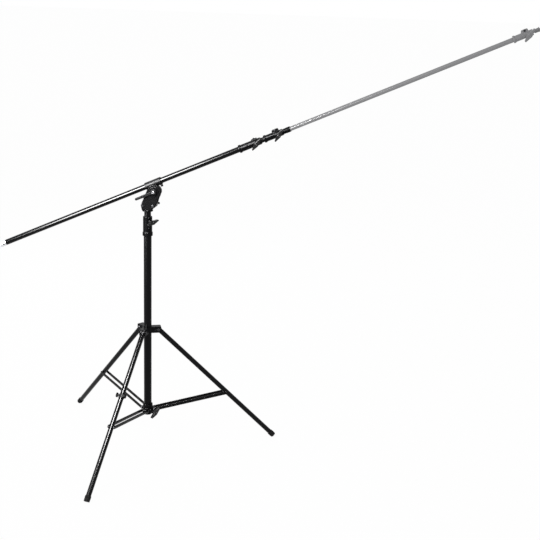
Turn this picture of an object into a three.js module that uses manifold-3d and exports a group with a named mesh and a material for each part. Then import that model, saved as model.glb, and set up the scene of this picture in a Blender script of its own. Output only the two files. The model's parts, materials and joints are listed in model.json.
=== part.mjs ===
// Overhead boom arm on a folding three-legged stand.
// Millimetres, +Z up. The origin is the centre of the column's flat underside, on the column's axis.
// +X is the way that the boom points over the ground, and -Y is the side with the tilt lever.
import * as THREE from "three";
import { mergeVertices } from "three/addons/utils/BufferGeometryUtils.js";
import Module from "manifold-3d";

const wasm = await Module();
wasm.setup();

// Clearances, overruns and facet counts
const gap = 0.3; // between pieces that touch, slide or turn on each other
const cutOverrun = 6; // how far a cutting tool runs past the face that it opens
const weld = 0.0001; // points closer than this are one point
const roundSides = 20;
const boltSides = 12;
const spigotSides = 16;
const arcSteps = 3;

// Column and riser
const columnDiameter = 35;
const columnWall = 1.5;
const columnLength = 893;
const floorDrop = 154; // the column's underside stands this high above the floor
const baseCapFlange = 4;
const baseCapPlugLength = 18;
const baseCapRim = 1.2; // the cap's flange stands out this far past the tube
const riserDiameter = 30;
const riserWall = 1.5;
const riserBottom = 93; // height of the riser's lower end inside the column
const riserStub = 24; // bare riser between the column clamp and the head
const guideBushLength = 30;
const guideBushLip = 3;

// Clamp castings: the sizes that all four share
const clampWall = 2.6;
const clampChamfer = 1.2;
const clampRingProud = 2.2;
const clampBossRadius = 9;
const clampBossProud = 8;
const clampLobeWidth = 15;
const clampLobeRadius = 5;
const clampLobeProud = 10;
const clampLobeLength = 33;
const clampLobeSetback = 15; // from the mouth
const clampSlit = 2;
const clampBushWall = 1.3;
const clampBushFlange = 3;
const clampBoltRadius = 2.5;
const clampBoltHeadRadius = 4.4;
const clampBoltHeadHeight = 3.6;

// Column clamp
const columnClampLength = 87;
const columnClampGrip = 45;
const columnClampRing = 16;
const columnClampScrewStation = 22; // from the mouth
const columnClampScrewAngle = -34;
const columnClampLobeAngle = 105;
const columnClampWingAngle = 106;

// Winged locking screws
const wingSpan = 60;
const wingHubRadius = 9.5;
const wingTipRadius = 3.2;
const wingThickness = 7;
const wingBevel = 1;
const wingHubHeight = 12;
const wingCapRadius = 5;
const wingCapHeight = 1.6;
const wingShaftRadius = 4;

// Legs and spider
const legDiameter = 22;
const legWall = 1.5;
const legAngle = 44.5; // from the vertical, spread
const legPivotRadius = 48;
const legPivotHeight = 414;
const rightLegAngle = 22.4; // round the column, from +X
const frontLegAngle = -97.6;
const rearLegAngle = 142.4;
const legAzimuths = { right: rightLegAngle, front: frontLegAngle, rear: rearLegAngle };
const legPivotPinRadius = 4;
const pinHeadRadius = 6.5;
const pinHeadHeight = 3;
const legEyeToTube = 15; // from the pivot to the tube's upper end
const legPlugLength = 24;
const spiderSleeveWall = 5.5;
const spiderArmReach = 61;
const spiderArmWall = 2.8;
const spiderArmDrop = 15;
const spiderTopPlate = 3.2;
const spiderArmCorner = 11;
const footLength = 24;
const footWall = 1.4;
const footEndWall = 8;
const footFlatDepth = 3; // how much of the foot's lower corner is cut away where it meets the floor
const footChamfer = 1.4;

// Lower collar and braces
const collarHeight = 24.5; // height of the brace pivots
const collarRise = 26; // from the brace pivots to the collar's top
const collarDrop = 18;
const collarWall = 4.6;
const collarRimProud = 1.6;
const collarRim = 4;
const collarScrewAngle = -33;
const collarWingAngle = -52;
const collarBossRadius = 7.4;
const collarBossProud = 23;
const collarBossDrop = 6; // below the brace pivots
const bracePivotRadius = 28.5;
const braceEarRadius = 7;
const braceInnerWidth = 26; // between the two bars of a pair
const braceBarHeight = 14.5;
const braceBarThickness = 3;
const braceAttach = 456; // from the leg's pivot down the leg to the brace's outer pivot
const bracePinRadius = 3;
const braceHeadRadius = 5;
const braceHeadHeight = 2.4;
const braceStudRadius = 4.5;

// Accessory clip on the front leg
const clipStation = 313; // from the leg's pivot
const clipLength = 20;
const clipWall = 1.4;
const clipLugRadius = 10.5;
const clipLugThickness = 5;
const clipBarClearance = 0.5; // between a lug and the brace bar that folds past it
const clipLugLift = 9;
const clipWebHeight = 5;

// Head
const pivotX = 35.5;
const pivotRise = 91.7; // heights of the head are from its underside
const cheekRadius = 32; // in front
const backCheekRadius = 20;
const cheekRingRadius = 21; // the raised ring round the pivot, in front
const cheekRingProud = 1.5;
const headSlotRadius = 49; // clears the sleeve's ends between the cheeks
const headDepth = 44;
const shoulderRadius = 9;
const shoulderRise = 27.7;
const shoulderLeft = -25.5;
const shoulderRight = 40.5;
const headBaseHalfWidth = 21.5;
const headBaseRadius = 4;
const headBaseRing = 6;
const headBaseRingRadius = 24;
const headBevel = 1.6;
const headSocketDepth = 43;
const headBoltLeft = -19;
const headBoltRight = 29;
const headBoltRadius = 2.8;
const headBoltHeadRadius = 5;
const headBoltHeadHeight = 5;
const headBoltRecess = 4;
const discRadius = 25;
const discThickness = 34;
const tiltBoltRadius = 5;
const tiltBoltHeadRadius = 6.5;
const tiltBoltHeadHeight = 5;
const tiltNutRadius = 8.5;
const tiltNutHeight = 7;
const leverHubRadius = 14;
const leverHubHeight = 10;
const leverLength = 92;
const leverTipRadius = 5.5;
const leverRootRadius = 7.5;
const leverThickness = 8;
const leverAngle = 205;
const panScrewRise = 38.7;
const panScrewShaftRadius = 2;
const panScrewHeadRadius = 5;
const panScrewHeadLength = 6;
const panScrewProud = 8;

// Boom
const boomElevation = 24.7;
const boomOffset = 33.05; // from the tilt pivot up to the boom's axis
const sectionDiameters = [25, 22, 19];
const sectionWall = 1.2;
const sleeveWall = 2.2;
const sleeveLinerWall = 1.2;
const sleeveBack = 32; // the sleeve's ends, from the foot of the pivot on the boom's axis
const sleeveFront = 44;
const sleeveScrewStation = 37.5;
const sleeveBossRadius = 6;
const sleeveBossProud = 2;
const sleeveScrewRadius = 3;
const sleeveScrewHeadRadius = 5.5;
const sleeveScrewHeadHeight = 7;
const tailX = -743.7; // the back end of section 1
const section2Back = -607.7;
const section3Back = 492.3;
const tailPlugLength = 45;
const tailPlugInside = 40;
const tailPlugChamfer = 2;
const tailHoleRadius = 4;
const tailHoleStation = 24;
const clamp1Start = 421.3;
const clamp1Length = 100;
const section2Shown = 17; // of section 2, between clamps 1 and 2 at rest
const clamp2Length = 86;
const endClampStart = 1616.3;
const endClampLength = 80;
const boomClampGripShare = 0.5; // share of a clamp's length that sits on its own tube
const boomClampRing = 8;
const boomClampScrewStation = 16; // from the mouth
const boomClampScrewAngle = -78;
const boomWingAngles = [31, 35, 35];
const boomLobeAngles = [120, 180, 180];
const mouthBushNeck = 14; // the black bush that stands out of clamp 2
const mouthBushHead = 20;

// Spigot
const spigotSeat = 36; // length inside the end clamp
const spigotRadius = 8;
const spigotNeckRadius = 5.2;
const spigotNeck = 6;
const spigotHead = 17;
const spigotFlangeRadius = 9.6;
const spigotFlange = 3.5;
const spigotStudRadius = 4;
const spigotStud = 20;
const spigotChamfer = 0.8;

// Sizes that follow from the ones above
const columnRadius = columnDiameter / 2;
const riserRadius = riserDiameter / 2;
const legRadius = legDiameter / 2;
const columnBottom = baseCapFlange + gap;
const columnTop = columnBottom + columnLength;
const columnClampBottom = columnTop - columnClampGrip;
const columnClampTop = columnClampBottom + columnClampLength;
const headBottom = columnClampTop + riserStub;
const riserTop = headBottom + headSocketDepth - gap;
const pivotHeight = headBottom + pivotRise;
const shoulderHeight = headBottom + shoulderRise;
const panScrewHeight = headBottom + panScrewRise;
const armSlotHalf = legRadius + gap + gap;
const armHalfWidth = armSlotHalf + spiderArmWall;
const braceHalf = braceInnerWidth / 2;
const clamp2Start = clamp1Start + clamp1Length + section2Shown;
const clipLugSpread = braceHalf + braceBarThickness + clipBarClearance + clipLugThickness / 2;
const cheekInner = discThickness / 2 + gap;
const headFront = headDepth / 2;

const toRadians = THREE.MathUtils.degToRad;

// Finishes
const finishes = {
  tube: { color: 0x0b0b0d, roughness: 0.22, metalness: 0.55 },
  casting: { color: 0x2b2b2e, roughness: 0.5, metalness: 0.35 },
  plastic: { color: 0x141416, roughness: 0.55, metalness: 0 },
  rubber: { color: 0x101010, roughness: 0.85, metalness: 0 },
  steel: { color: 0xb9bcc2, roughness: 0.25, metalness: 0.95 },
  darkSteel: { color: 0x3a3a3d, roughness: 0.4, metalness: 0.8 },
  greyTube: { color: 0x8d8d90, roughness: 0.4, metalness: 0.4 },
  bareAluminium: { color: 0xc4c6ca, roughness: 0.32, metalness: 0.9 },
};

/** Turns a closed geometry into a solid that faces outwards. A solid stays as it is. */
function solidOf(geometry) {
  if (geometry instanceof wasm.Manifold) return geometry;
  const bare = geometry.index ? geometry.toNonIndexed() : geometry.clone();
  bare.deleteAttribute("normal");
  bare.deleteAttribute("uv");
  const merged = mergeVertices(bare, weld);
  const index = merged.index.array;
  const corners = [];
  for (let i = 0; i < index.length; i += 3) {
    const [a, b, c] = index.subarray(i, i + 3);
    if (a !== b && b !== c && c !== a) corners.push(a, b, c);
  }
  const vertProperties = merged.attributes.position.array;
  const make = (list) =>
    new wasm.Manifold(
      new wasm.Mesh({ numProp: 3, vertProperties, triVerts: new Uint32Array(list) }),
    );
  const made = make(corners);
  return made.volume() > 0 ? made : make(corners.reverse());
}

/** Gives a solid's surface as a geometry with flat normals. */
function geometryOf(solid) {
  const mesh = solid.getMesh();
  const geometry = new THREE.BufferGeometry();
  geometry.setAttribute("position", new THREE.BufferAttribute(mesh.vertProperties, 3));
  geometry.setIndex(new THREE.BufferAttribute(mesh.triVerts, 1));
  const flat = geometry.toNonIndexed();
  flat.computeVertexNormals();
  return flat;
}

/** Joins geometries into one solid. */
function join(...geometries) {
  return geometries.map(solidOf).reduce((all, next) => all.add(next));
}

/** Cuts the tools out of a geometry. */
function cut(geometry, ...tools) {
  return tools.map(solidOf).reduce((left, next) => left.subtract(next), solidOf(geometry));
}

/** Revolves [radius, height] points about Z. */
function turned(points, sides = roundSides) {
  const profile = points.map(([radius, height]) => new THREE.Vector2(radius, height));
  return new THREE.LatheGeometry(profile, sides).rotateX(Math.PI / 2);
}

/** A round bar along Z from one height to another. */
function rod(radius, from, to, sides = boltSides) {
  return turned([[0, from], [radius, from], [radius, to], [0, to]], sides);
}

/** A tube along Z: a closed ring profile. */
function pipe(outer, inner, from, to, sides = roundSides) {
  return turned([[inner, from], [outer, from], [outer, to], [inner, to], [inner, from]], sides);
}

/** A smooth outline round circles [x, y, radius], listed anticlockwise. */
function outlineRound(circles) {
  const normals = circles.map(([x, y, radius], i) => {
    const [nextX, nextY, nextRadius] = circles[(i + 1) % circles.length];
    const distance = Math.hypot(nextX - x, nextY - y);
    const heading = Math.atan2(nextY - y, nextX - x);
    return heading - Math.PI / 2 + Math.asin((radius - nextRadius) / distance);
  });
  const shape = new THREE.Shape();
  circles.forEach(([x, y, radius], i) => {
    const start = normals[(i + circles.length - 1) % circles.length];
    shape.absarc(x, y, radius, start, normals[i], false);
  });
  return shape;
}

/** Extrudes a shape along Z, centred, with an optional bevel inside its outline. */
function slab(shape, thickness, bevel = 0) {
  return new THREE.ExtrudeGeometry(shape, {
    depth: thickness - 2 * bevel,
    curveSegments: arcSteps,
    bevelEnabled: bevel > 0,
    bevelSize: bevel,
    bevelOffset: -bevel,
    bevelThickness: bevel,
    bevelSegments: 1,
  }).translate(0, 0, bevel - thickness / 2);
}

/** Stands a slab up: its outline lies in X and Z, its thickness along Y. */
function uprightSlab(shape, thickness, bevel = 0) {
  return slab(shape, thickness, bevel).rotateX(Math.PI / 2);
}

/** A round bar along Y at x and z. */
function crossRod(radius, x, z, from, to, sides = boltSides) {
  return rod(radius, from, to, sides).rotateX(-Math.PI / 2).translate(x, 0, z);
}

/** A round bar that points out from the Z axis at a height and an angle. */
function radialRod(radius, angle, height, from, to, sides = boltSides) {
  return rod(radius, from, to, sides).rotateY(Math.PI / 2).rotateZ(toRadians(angle)).translate(0, 0, height);
}

/** Adds a named piece, a geometry or a solid, with its own material to a group. */
function addPart(group, name, shape, finish) {
  const geometry = shape instanceof wasm.Manifold ? geometryOf(shape) : shape;
  const mesh = new THREE.Mesh(geometry, new THREE.MeshStandardMaterial(finishes[finish]));
  mesh.name = name;
  group.add(mesh);
}

/** A group inside another, placed and turned. */
function frameIn(parent, position, rotation = [0, 0, 0], order = "XYZ") {
  const group = new THREE.Group();
  group.position.set(...position);
  group.rotation.set(...rotation, order);
  parent.add(group);
  return group;
}

/** A group whose Z points out from its parent's Z axis, at an angle, a height and a distance. */
function radialFrame(parent, angle, height, distance) {
  const turn = toRadians(angle);
  const place = [distance * Math.cos(turn), distance * Math.sin(turn), height];
  return frameIn(parent, place, [0, Math.PI / 2, turn], "ZYX");
}

/** A winged locking screw. It seats at height 0 and its shaft points down. */
function wingScrew(shaftLength, angle) {
  const tip = wingSpan / 2 - wingTipRadius;
  const outline = outlineRound([
    [tip, 0, wingTipRadius],
    [0, 0, wingHubRadius],
    [-tip, 0, wingTipRadius],
    [0, 0, wingHubRadius],
  ]);
  const wing = slab(outline, wingThickness, wingBevel)
    .translate(0, 0, wingHubHeight - wingThickness / 2)
    .rotateZ(toRadians(angle));
  const stem = turned([
    [0, -shaftLength],
    [wingShaftRadius, -shaftLength],
    [wingShaftRadius, gap],
    [wingHubRadius - wingBevel, gap],
    [wingCapRadius, wingHubHeight - wingThickness / 2],
    [wingCapRadius, wingHubHeight + wingCapHeight],
    [0, wingHubHeight + wingCapHeight],
  ], boltSides);
  return join(wing, stem);
}

/**
 * The places and radii of a split clamp that grips an outer tube and locks an inner one.
 * Its axis is Z, its ring end is at 0 and its mouth at its length.
 */
function clampPlan({ length, grip, ring, outerRadius, innerRadius, screwStation, hasBush }) {
  const gripBore = outerRadius + gap;
  const bodyRadius = gripBore + clampWall;
  const mouthBore = innerRadius + gap + (hasBush ? clampBushWall + gap : 0);
  return {
    length,
    grip,
    ring,
    innerRadius,
    gripBore,
    bodyRadius,
    mouthBore,
    ringRadius: bodyRadius + clampRingProud,
    screwHeight: length - screwStation,
    bossReach: bodyRadius + clampBossProud,
    lobeTop: bodyRadius + clampLobeProud,
    lobeLow: length - clampLobeSetback - clampLobeLength + clampLobeRadius,
    lobeHigh: length - clampLobeSetback - clampLobeRadius,
  };
}

/** The casting of a split clamp: sleeve, end ring, screw boss and slit lobe, with its bolt if cast on. */
function clampCasting(plan, screwAngle, lobeAngle, hasCastBolt = false) {
  const { length, ring, bodyRadius, ringRadius, gripBore, mouthBore } = plan;
  const body = turned([
    [0, 0],
    [ringRadius, 0],
    [ringRadius, ring - clampChamfer],
    [bodyRadius, ring + clampChamfer],
    [bodyRadius, length - clampChamfer],
    [bodyRadius - clampChamfer, length],
    [0, length],
  ]);
  const boss = radialRod(clampBossRadius, screwAngle, plan.screwHeight, 0, plan.bossReach);
  const lobeCentre = plan.lobeTop - clampLobeRadius;
  const lobeOutline = outlineRound([
    [0, plan.lobeLow, clampLobeRadius],
    [lobeCentre, plan.lobeLow + clampLobeRadius, clampLobeRadius],
    [lobeCentre, plan.lobeHigh, clampLobeRadius],
    [0, plan.lobeHigh, clampLobeRadius],
  ]);
  const turn = toRadians(lobeAngle);
  const lobe = uprightSlab(lobeOutline, clampLobeWidth).rotateZ(turn);
  const bore = turned([
    [0, -cutOverrun],
    [gripBore, -cutOverrun],
    [gripBore, plan.grip + gap],
    [mouthBore, plan.grip + gap],
    [mouthBore, length + cutOverrun],
    [0, length + cutOverrun],
  ]);
  const slitDepth = plan.lobeTop + cutOverrun;
  const slitLength = length - plan.grip + cutOverrun;
  const slit = new THREE.BoxGeometry(slitDepth, clampSlit, slitLength)
    .translate(slitDepth / 2, 0, plan.grip + slitLength / 2)
    .rotateZ(turn);
  const screwHole = radialRod(
    wingShaftRadius + gap, screwAngle, plan.screwHeight, 0, plan.bossReach + cutOverrun,
  );
  const boltHeight = lobeBoltHeight(plan);
  const half = clampLobeWidth / 2 + clampBoltHeadHeight;
  if (hasCastBolt) {
    const heads = crossRod(clampBoltHeadRadius, lobeCentre, boltHeight, -half, half).rotateZ(turn);
    return cut(join(body, boss, lobe, heads), bore, slit, screwHole);
  }
  const boltHole = crossRod(clampBoltRadius + gap, lobeCentre, boltHeight, -half, half).rotateZ(turn);
  return cut(join(body, boss, lobe), bore, slit, screwHole, boltHole);
}

/** The height of the bolt through a clamp's lobe. */
function lobeBoltHeight(plan) {
  return (plan.lobeLow + clampLobeRadius + plan.lobeHigh) / 2;
}

/** The bolt that crosses a clamp's lobe, with a round head and a nut. */
function lobeBolt(plan, lobeAngle) {
  const half = clampLobeWidth / 2 + gap;
  const bolt = turned([
    [0, -half - clampBoltHeadHeight],
    [clampBoltHeadRadius, -half - clampBoltHeadHeight],
    [clampBoltHeadRadius, -half],
    [clampBoltRadius, -half],
    [clampBoltRadius, half],
    [clampBoltHeadRadius, half],
    [clampBoltHeadRadius, half + clampBoltHeadHeight],
    [0, half + clampBoltHeadHeight],
  ], boltSides);
  return bolt
    .rotateX(-Math.PI / 2)
    .translate(plan.lobeTop - clampLobeRadius, 0, lobeBoltHeight(plan))
    .rotateZ(toRadians(lobeAngle));
}

/** The bush in a clamp's mouth. Its rim stands out of the mouth by neck, and ends in a head. */
function clampBush(plan, neck, head) {
  const inner = plan.innerRadius + gap;
  const outer = plan.mouthBore - gap;
  const low = plan.grip + gap + gap;
  const mouth = plan.length + gap;
  return turned([
    [inner, low],
    [outer, low],
    [outer, mouth + neck],
    [plan.mouthBore + gap, mouth + neck],
    [plan.mouthBore + gap, mouth + neck + head - clampBushWall / 2],
    [outer, mouth + neck + head],
    [inner, mouth + neck + head],
    [inner, low],
  ]);
}

/** Adds a clamp's winged screw in its boss. */
function addClampScrew(parent, name, plan, screwAngle, wingAngle, finish) {
  const frame = radialFrame(parent, screwAngle, plan.screwHeight, plan.bossReach);
  const shaftLength = plan.bossReach - plan.mouthBore;
  addPart(frame, name, wingScrew(shaftLength, wingAngle), finish);
}

const boomStand = new THREE.Group();
boomStand.name = "overhead_boom_arm";

/** Column, base cap, riser and the clamp between them. */
function buildColumn() {
  const bore = columnRadius - columnWall;
  addPart(boomStand, "column_tube", pipe(columnRadius, bore, columnBottom, columnTop), "tube");
  const capRadius = columnRadius + baseCapRim;
  const plugTop = columnBottom + baseCapPlugLength;
  addPart(boomStand, "column_base_cap", turned([
    [0, 0],
    [capRadius - clampChamfer, 0],
    [capRadius, clampChamfer],
    [capRadius, baseCapFlange],
    [bore - gap, baseCapFlange],
    [bore - gap, plugTop - clampChamfer],
    [bore - gap - clampChamfer, plugTop],
    [0, plugTop],
  ]), "plastic");

  const plan = clampPlan({
    length: columnClampLength,
    grip: columnClampGrip,
    ring: columnClampRing,
    outerRadius: columnRadius,
    innerRadius: riserRadius,
    screwStation: columnClampScrewStation,
    hasBush: false,
  });
  const clampFrame = frameIn(boomStand, [0, 0, columnClampBottom]);
  const casting = clampCasting(plan, columnClampScrewAngle, columnClampLobeAngle, true);
  addPart(clampFrame, "column_clamp", casting, "casting");
  addClampScrew(
    clampFrame, "column_clamp_screw", plan, columnClampScrewAngle, columnClampWingAngle, "plastic",
  );

  const riserBore = riserRadius - riserWall;
  addPart(boomStand, "riser_tube", pipe(riserRadius, riserBore, riserBottom, riserTop), "tube");
  addPart(boomStand, "riser_guide_bush", turned([
    [0, riserBottom - gap - guideBushLip],
    [bore - gap, riserBottom - gap - guideBushLip],
    [bore - gap, riserBottom - gap],
    [riserBore - gap, riserBottom - gap],
    [riserBore - gap, riserBottom + guideBushLength],
    [0, riserBottom + guideBushLength],
  ]), "plastic");
}

/** The spider: a sleeve on the column with three channel arms that hold the legs. */
function buildSpider() {
  const top = spiderTopPlate + legRadius + gap + gap;
  const sleeve = rod(columnRadius + spiderSleeveWall, -spiderArmDrop, top, roundSides);
  const armShape = new THREE.Shape();
  armShape.moveTo(0, -spiderArmDrop);
  armShape.lineTo(spiderArmReach - spiderArmCorner, -spiderArmDrop);
  armShape.absarc(
    spiderArmReach - spiderArmCorner, spiderArmCorner - spiderArmDrop, spiderArmCorner, -Math.PI / 2, 0,
  );
  armShape.lineTo(spiderArmReach, top);
  armShape.lineTo(0, top);
  const slotBack = legPivotRadius - legRadius - gap - gap;
  const slotLength = spiderArmReach + cutOverrun - slotBack;
  const slotHeight = top - spiderTopPlate + spiderArmDrop + cutOverrun;
  const slotMiddle = top - spiderTopPlate - slotHeight / 2;
  const holeEnd = armHalfWidth + cutOverrun;
  const arms = [];
  const cuts = [rod(columnRadius + gap, -spiderArmDrop - cutOverrun, top + cutOverrun, roundSides)];
  Object.values(legAzimuths).forEach((azimuth) => {
    const turn = toRadians(azimuth);
    arms.push(uprightSlab(armShape, 2 * armHalfWidth).rotateZ(turn));
    cuts.push(
      new THREE.BoxGeometry(slotLength, 2 * armSlotHalf, slotHeight)
        .translate(slotBack + slotLength / 2, 0, slotMiddle)
        .rotateZ(turn),
      crossRod(legPivotPinRadius + gap, legPivotRadius, 0, -holeEnd, holeEnd).rotateZ(turn),
    );
  });
  const frame = frameIn(boomStand, [0, 0, legPivotHeight]);
  addPart(frame, "spider", cut(join(sleeve, ...arms), ...cuts), "casting");

  const half = armHalfWidth + gap;
  Object.entries(legAzimuths).forEach(([side, azimuth]) => {
    const pin = turned([
      [0, -half - pinHeadHeight],
      [pinHeadRadius, -half - pinHeadHeight],
      [pinHeadRadius, -half],
      [legPivotPinRadius, -half],
      [legPivotPinRadius, half],
      [pinHeadRadius, half],
      [pinHeadRadius, half + pinHeadHeight],
      [0, half + pinHeadHeight],
    ], boltSides).rotateX(-Math.PI / 2).translate(legPivotRadius, 0, 0).rotateZ(toRadians(azimuth));
    addPart(frame, `spider_pin_${side}`, pin, "darkSteel");
  });
}

/** The length of a leg from its pivot to the end of its foot, so that the foot's flat meets the floor. */
function legLength() {
  const tilt = toRadians(legAngle);
  const footRadius = legRadius + footWall + gap;
  const drop = legPivotHeight + floorDrop + footFlatDepth - footRadius * Math.sin(tilt);
  return drop / Math.cos(tilt);
}

/**
 * A leg: its cast eye, tube, the cross stud that the braces hold, and its foot.
 * Its pivot is the group's origin, and -Z runs down it.
 */
function buildLeg(side, azimuth) {
  const turn = toRadians(azimuth);
  const tilt = toRadians(legAngle);
  const spoke = frameIn(boomStand, [0, 0, 0], [0, 0, turn]);
  const leg = frameIn(spoke, [legPivotRadius, 0, legPivotHeight], [0, -tilt, 0]);
  const length = legLength();
  const bore = legRadius - legWall;
  const tubeEnd = length - footEndWall - gap;

  const eyeSides = crossRod(legRadius, 0, 0, -legRadius, legRadius, roundSides);
  const plug = turned([
    [0, -legEyeToTube - legPlugLength],
    [bore - gap, -legEyeToTube - legPlugLength],
    [bore - gap, -legEyeToTube],
    [legRadius, -legEyeToTube],
    [legRadius, 0],
    [0, 0],
  ]);
  const eyeHole = crossRod(legPivotPinRadius + gap, 0, 0, -legRadius - cutOverrun, legRadius + cutOverrun);
  addPart(leg, `leg_eye_${side}`, cut(join(eyeSides, plug), eyeHole), "casting");

  const tubeStart = -legEyeToTube - gap;
  const studHalf = braceHalf - gap - gap;
  const tube = cut(
    pipe(legRadius, bore, -tubeEnd, tubeStart),
    crossRod(braceStudRadius + gap, 0, -braceAttach, -studHalf, studHalf),
  );
  addPart(leg, `leg_tube_${side}`, tube, "tube");
  const stud = crossRod(braceStudRadius, 0, -braceAttach, -studHalf, studHalf);
  addPart(leg, `brace_bracket_${side}`, stud, "darkSteel");

  const footRadius = legRadius + gap + footWall;
  const footTop = footLength - length;
  const cap = turned([
    [0, -length],
    [footRadius - footChamfer, -length],
    [footRadius, footChamfer - length],
    [footRadius, footTop],
    [legRadius + gap, footTop],
    [legRadius + gap, footEndWall - length],
    [0, footEndWall - length],
  ]);
  // The floor, as the leg sees it: turned back by the leg's own tilt.
  const block = 2 * footLength;
  const floor = new THREE.BoxGeometry(block, block, block)
    .translate(0, 0, -floorDrop - legPivotHeight - block / 2)
    .rotateY(tilt);
  const reach = length * Math.sin(tilt);
  const under = new THREE.Vector3(reach, 0, 0).applyAxisAngle(new THREE.Vector3(0, 1, 0), tilt);
  addPart(leg, `foot_${side}`, cut(cap, floor.translate(under.x, under.y, under.z)), "rubber");
  return leg;
}

/** The clip on the front leg: a ring with two round lugs on the leg's outer side. */
function buildAccessoryClip(leg) {
  const high = clipLength / 2 - clipStation;
  const low = -clipLength / 2 - clipStation;
  const ring = rod(legRadius + gap + clipWall, low, high, roundSides);
  const width = 2 * clipLugSpread;
  const web = new THREE.BoxGeometry(clipWebHeight, width, clipLength / 2)
    .translate(clipLugLift, 0, -clipStation);
  const lugs = [-1, 1].map((hand) =>
    crossRod(
      clipLugRadius, clipLugLift, -clipStation,
      hand * clipLugSpread - clipLugThickness / 2, hand * clipLugSpread + clipLugThickness / 2,
    ));
  const bore = rod(legRadius + gap, low - cutOverrun, high + cutOverrun, roundSides);
  addPart(leg, "accessory_clip", cut(join(ring, web, ...lugs), bore), "plastic");
}

/** The places of a brace at rest: its outer pivot, its length and its slope. */
function bracePlan() {
  const tilt = toRadians(legAngle);
  const outerRadius = legPivotRadius + braceAttach * Math.sin(tilt);
  const outerHeight = legPivotHeight - braceAttach * Math.cos(tilt);
  const run = outerRadius - bracePivotRadius;
  const rise = outerHeight - collarHeight;
  return { length: Math.hypot(run, rise), slope: Math.atan2(rise, run) };
}

/** The sliding collar that carries the braces, with its winged screw. */
function buildCollar() {
  const bore = columnRadius + gap;
  const radius = bore + collarWall;
  const sleeve = turned([
    [0, -collarDrop],
    [radius + collarRimProud, -collarDrop],
    [radius + collarRimProud, collarRim - collarDrop],
    [radius, collarRim + collarRimProud - collarDrop],
    [radius, collarRise - clampChamfer],
    [radius - clampChamfer, collarRise],
    [0, collarRise],
  ]);
  const earHalf = braceHalf - gap - gap;
  const earShape = outlineRound([
    [0, 0, braceEarRadius],
    [bracePivotRadius, 0, braceEarRadius],
  ]);
  const ears = [];
  const cuts = [rod(bore, -collarDrop - cutOverrun, collarRise + cutOverrun, roundSides)];
  Object.values(legAzimuths).forEach((azimuth) => {
    const turn = toRadians(azimuth);
    ears.push(uprightSlab(earShape, 2 * earHalf).rotateZ(turn));
    cuts.push(
      crossRod(bracePinRadius + gap, bracePivotRadius, 0, -earHalf - cutOverrun, earHalf + cutOverrun)
        .rotateZ(turn),
    );
  });
  const bossReach = radius + collarBossProud;
  const boss = radialRod(collarBossRadius, collarScrewAngle, -collarBossDrop, 0, bossReach);
  cuts.push(radialRod(wingShaftRadius + gap, collarScrewAngle, -collarBossDrop, 0, bossReach + cutOverrun));
  const frame = frameIn(boomStand, [0, 0, collarHeight]);
  addPart(frame, "lower_collar", cut(join(sleeve, boss, ...ears), ...cuts), "casting");
  const screwFrame = radialFrame(frame, collarScrewAngle, -collarBossDrop, bossReach);
  addPart(screwFrame, "collar_screw", wingScrew(bossReach - bore, collarWingAngle), "plastic");
}

/** A brace: two flat bars, joined at the collar by a pin. Each bar's outer rivet head is part of it. */
function buildBrace(side, azimuth) {
  const { length, slope } = bracePlan();
  const spoke = frameIn(boomStand, [0, 0, 0], [0, 0, toRadians(azimuth)]);
  const brace = frameIn(spoke, [bracePivotRadius, 0, collarHeight], [0, -slope, 0]);
  const barShape = outlineRound([
    [0, 0, braceBarHeight / 2],
    [length, 0, braceBarHeight / 2],
  ]);
  const outerFace = braceHalf + braceBarThickness;
  const middle = braceHalf + braceBarThickness / 2;
  ["near", "far"].forEach((name, i) => {
    const hand = i === 0 ? -1 : 1;
    const bar = uprightSlab(barShape, braceBarThickness).translate(0, hand * middle, 0);
    const hole = crossRod(bracePinRadius + gap, 0, 0, -outerFace - cutOverrun, outerFace + cutOverrun);
    const ends = [hand * middle, hand * (outerFace + braceHeadHeight)].sort((a, b) => a - b);
    const head = crossRod(braceHeadRadius, length, 0, ...ends);
    addPart(brace, `brace_bar_${side}_${name}`, join(cut(bar, hole), head), "tube");
  });
  const pinHalf = outerFace + gap;
  const pin = turned([
    [0, -pinHalf - braceHeadHeight],
    [braceHeadRadius, -pinHalf - braceHeadHeight],
    [braceHeadRadius, -pinHalf],
    [bracePinRadius, -pinHalf],
    [bracePinRadius, pinHalf],
    [braceHeadRadius, pinHalf],
    [braceHeadRadius, pinHalf + braceHeadHeight],
    [0, pinHalf + braceHeadHeight],
  ], boltSides).rotateX(-Math.PI / 2);
  addPart(brace, `brace_pin_${side}`, pin, "darkSteel");
}

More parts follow.
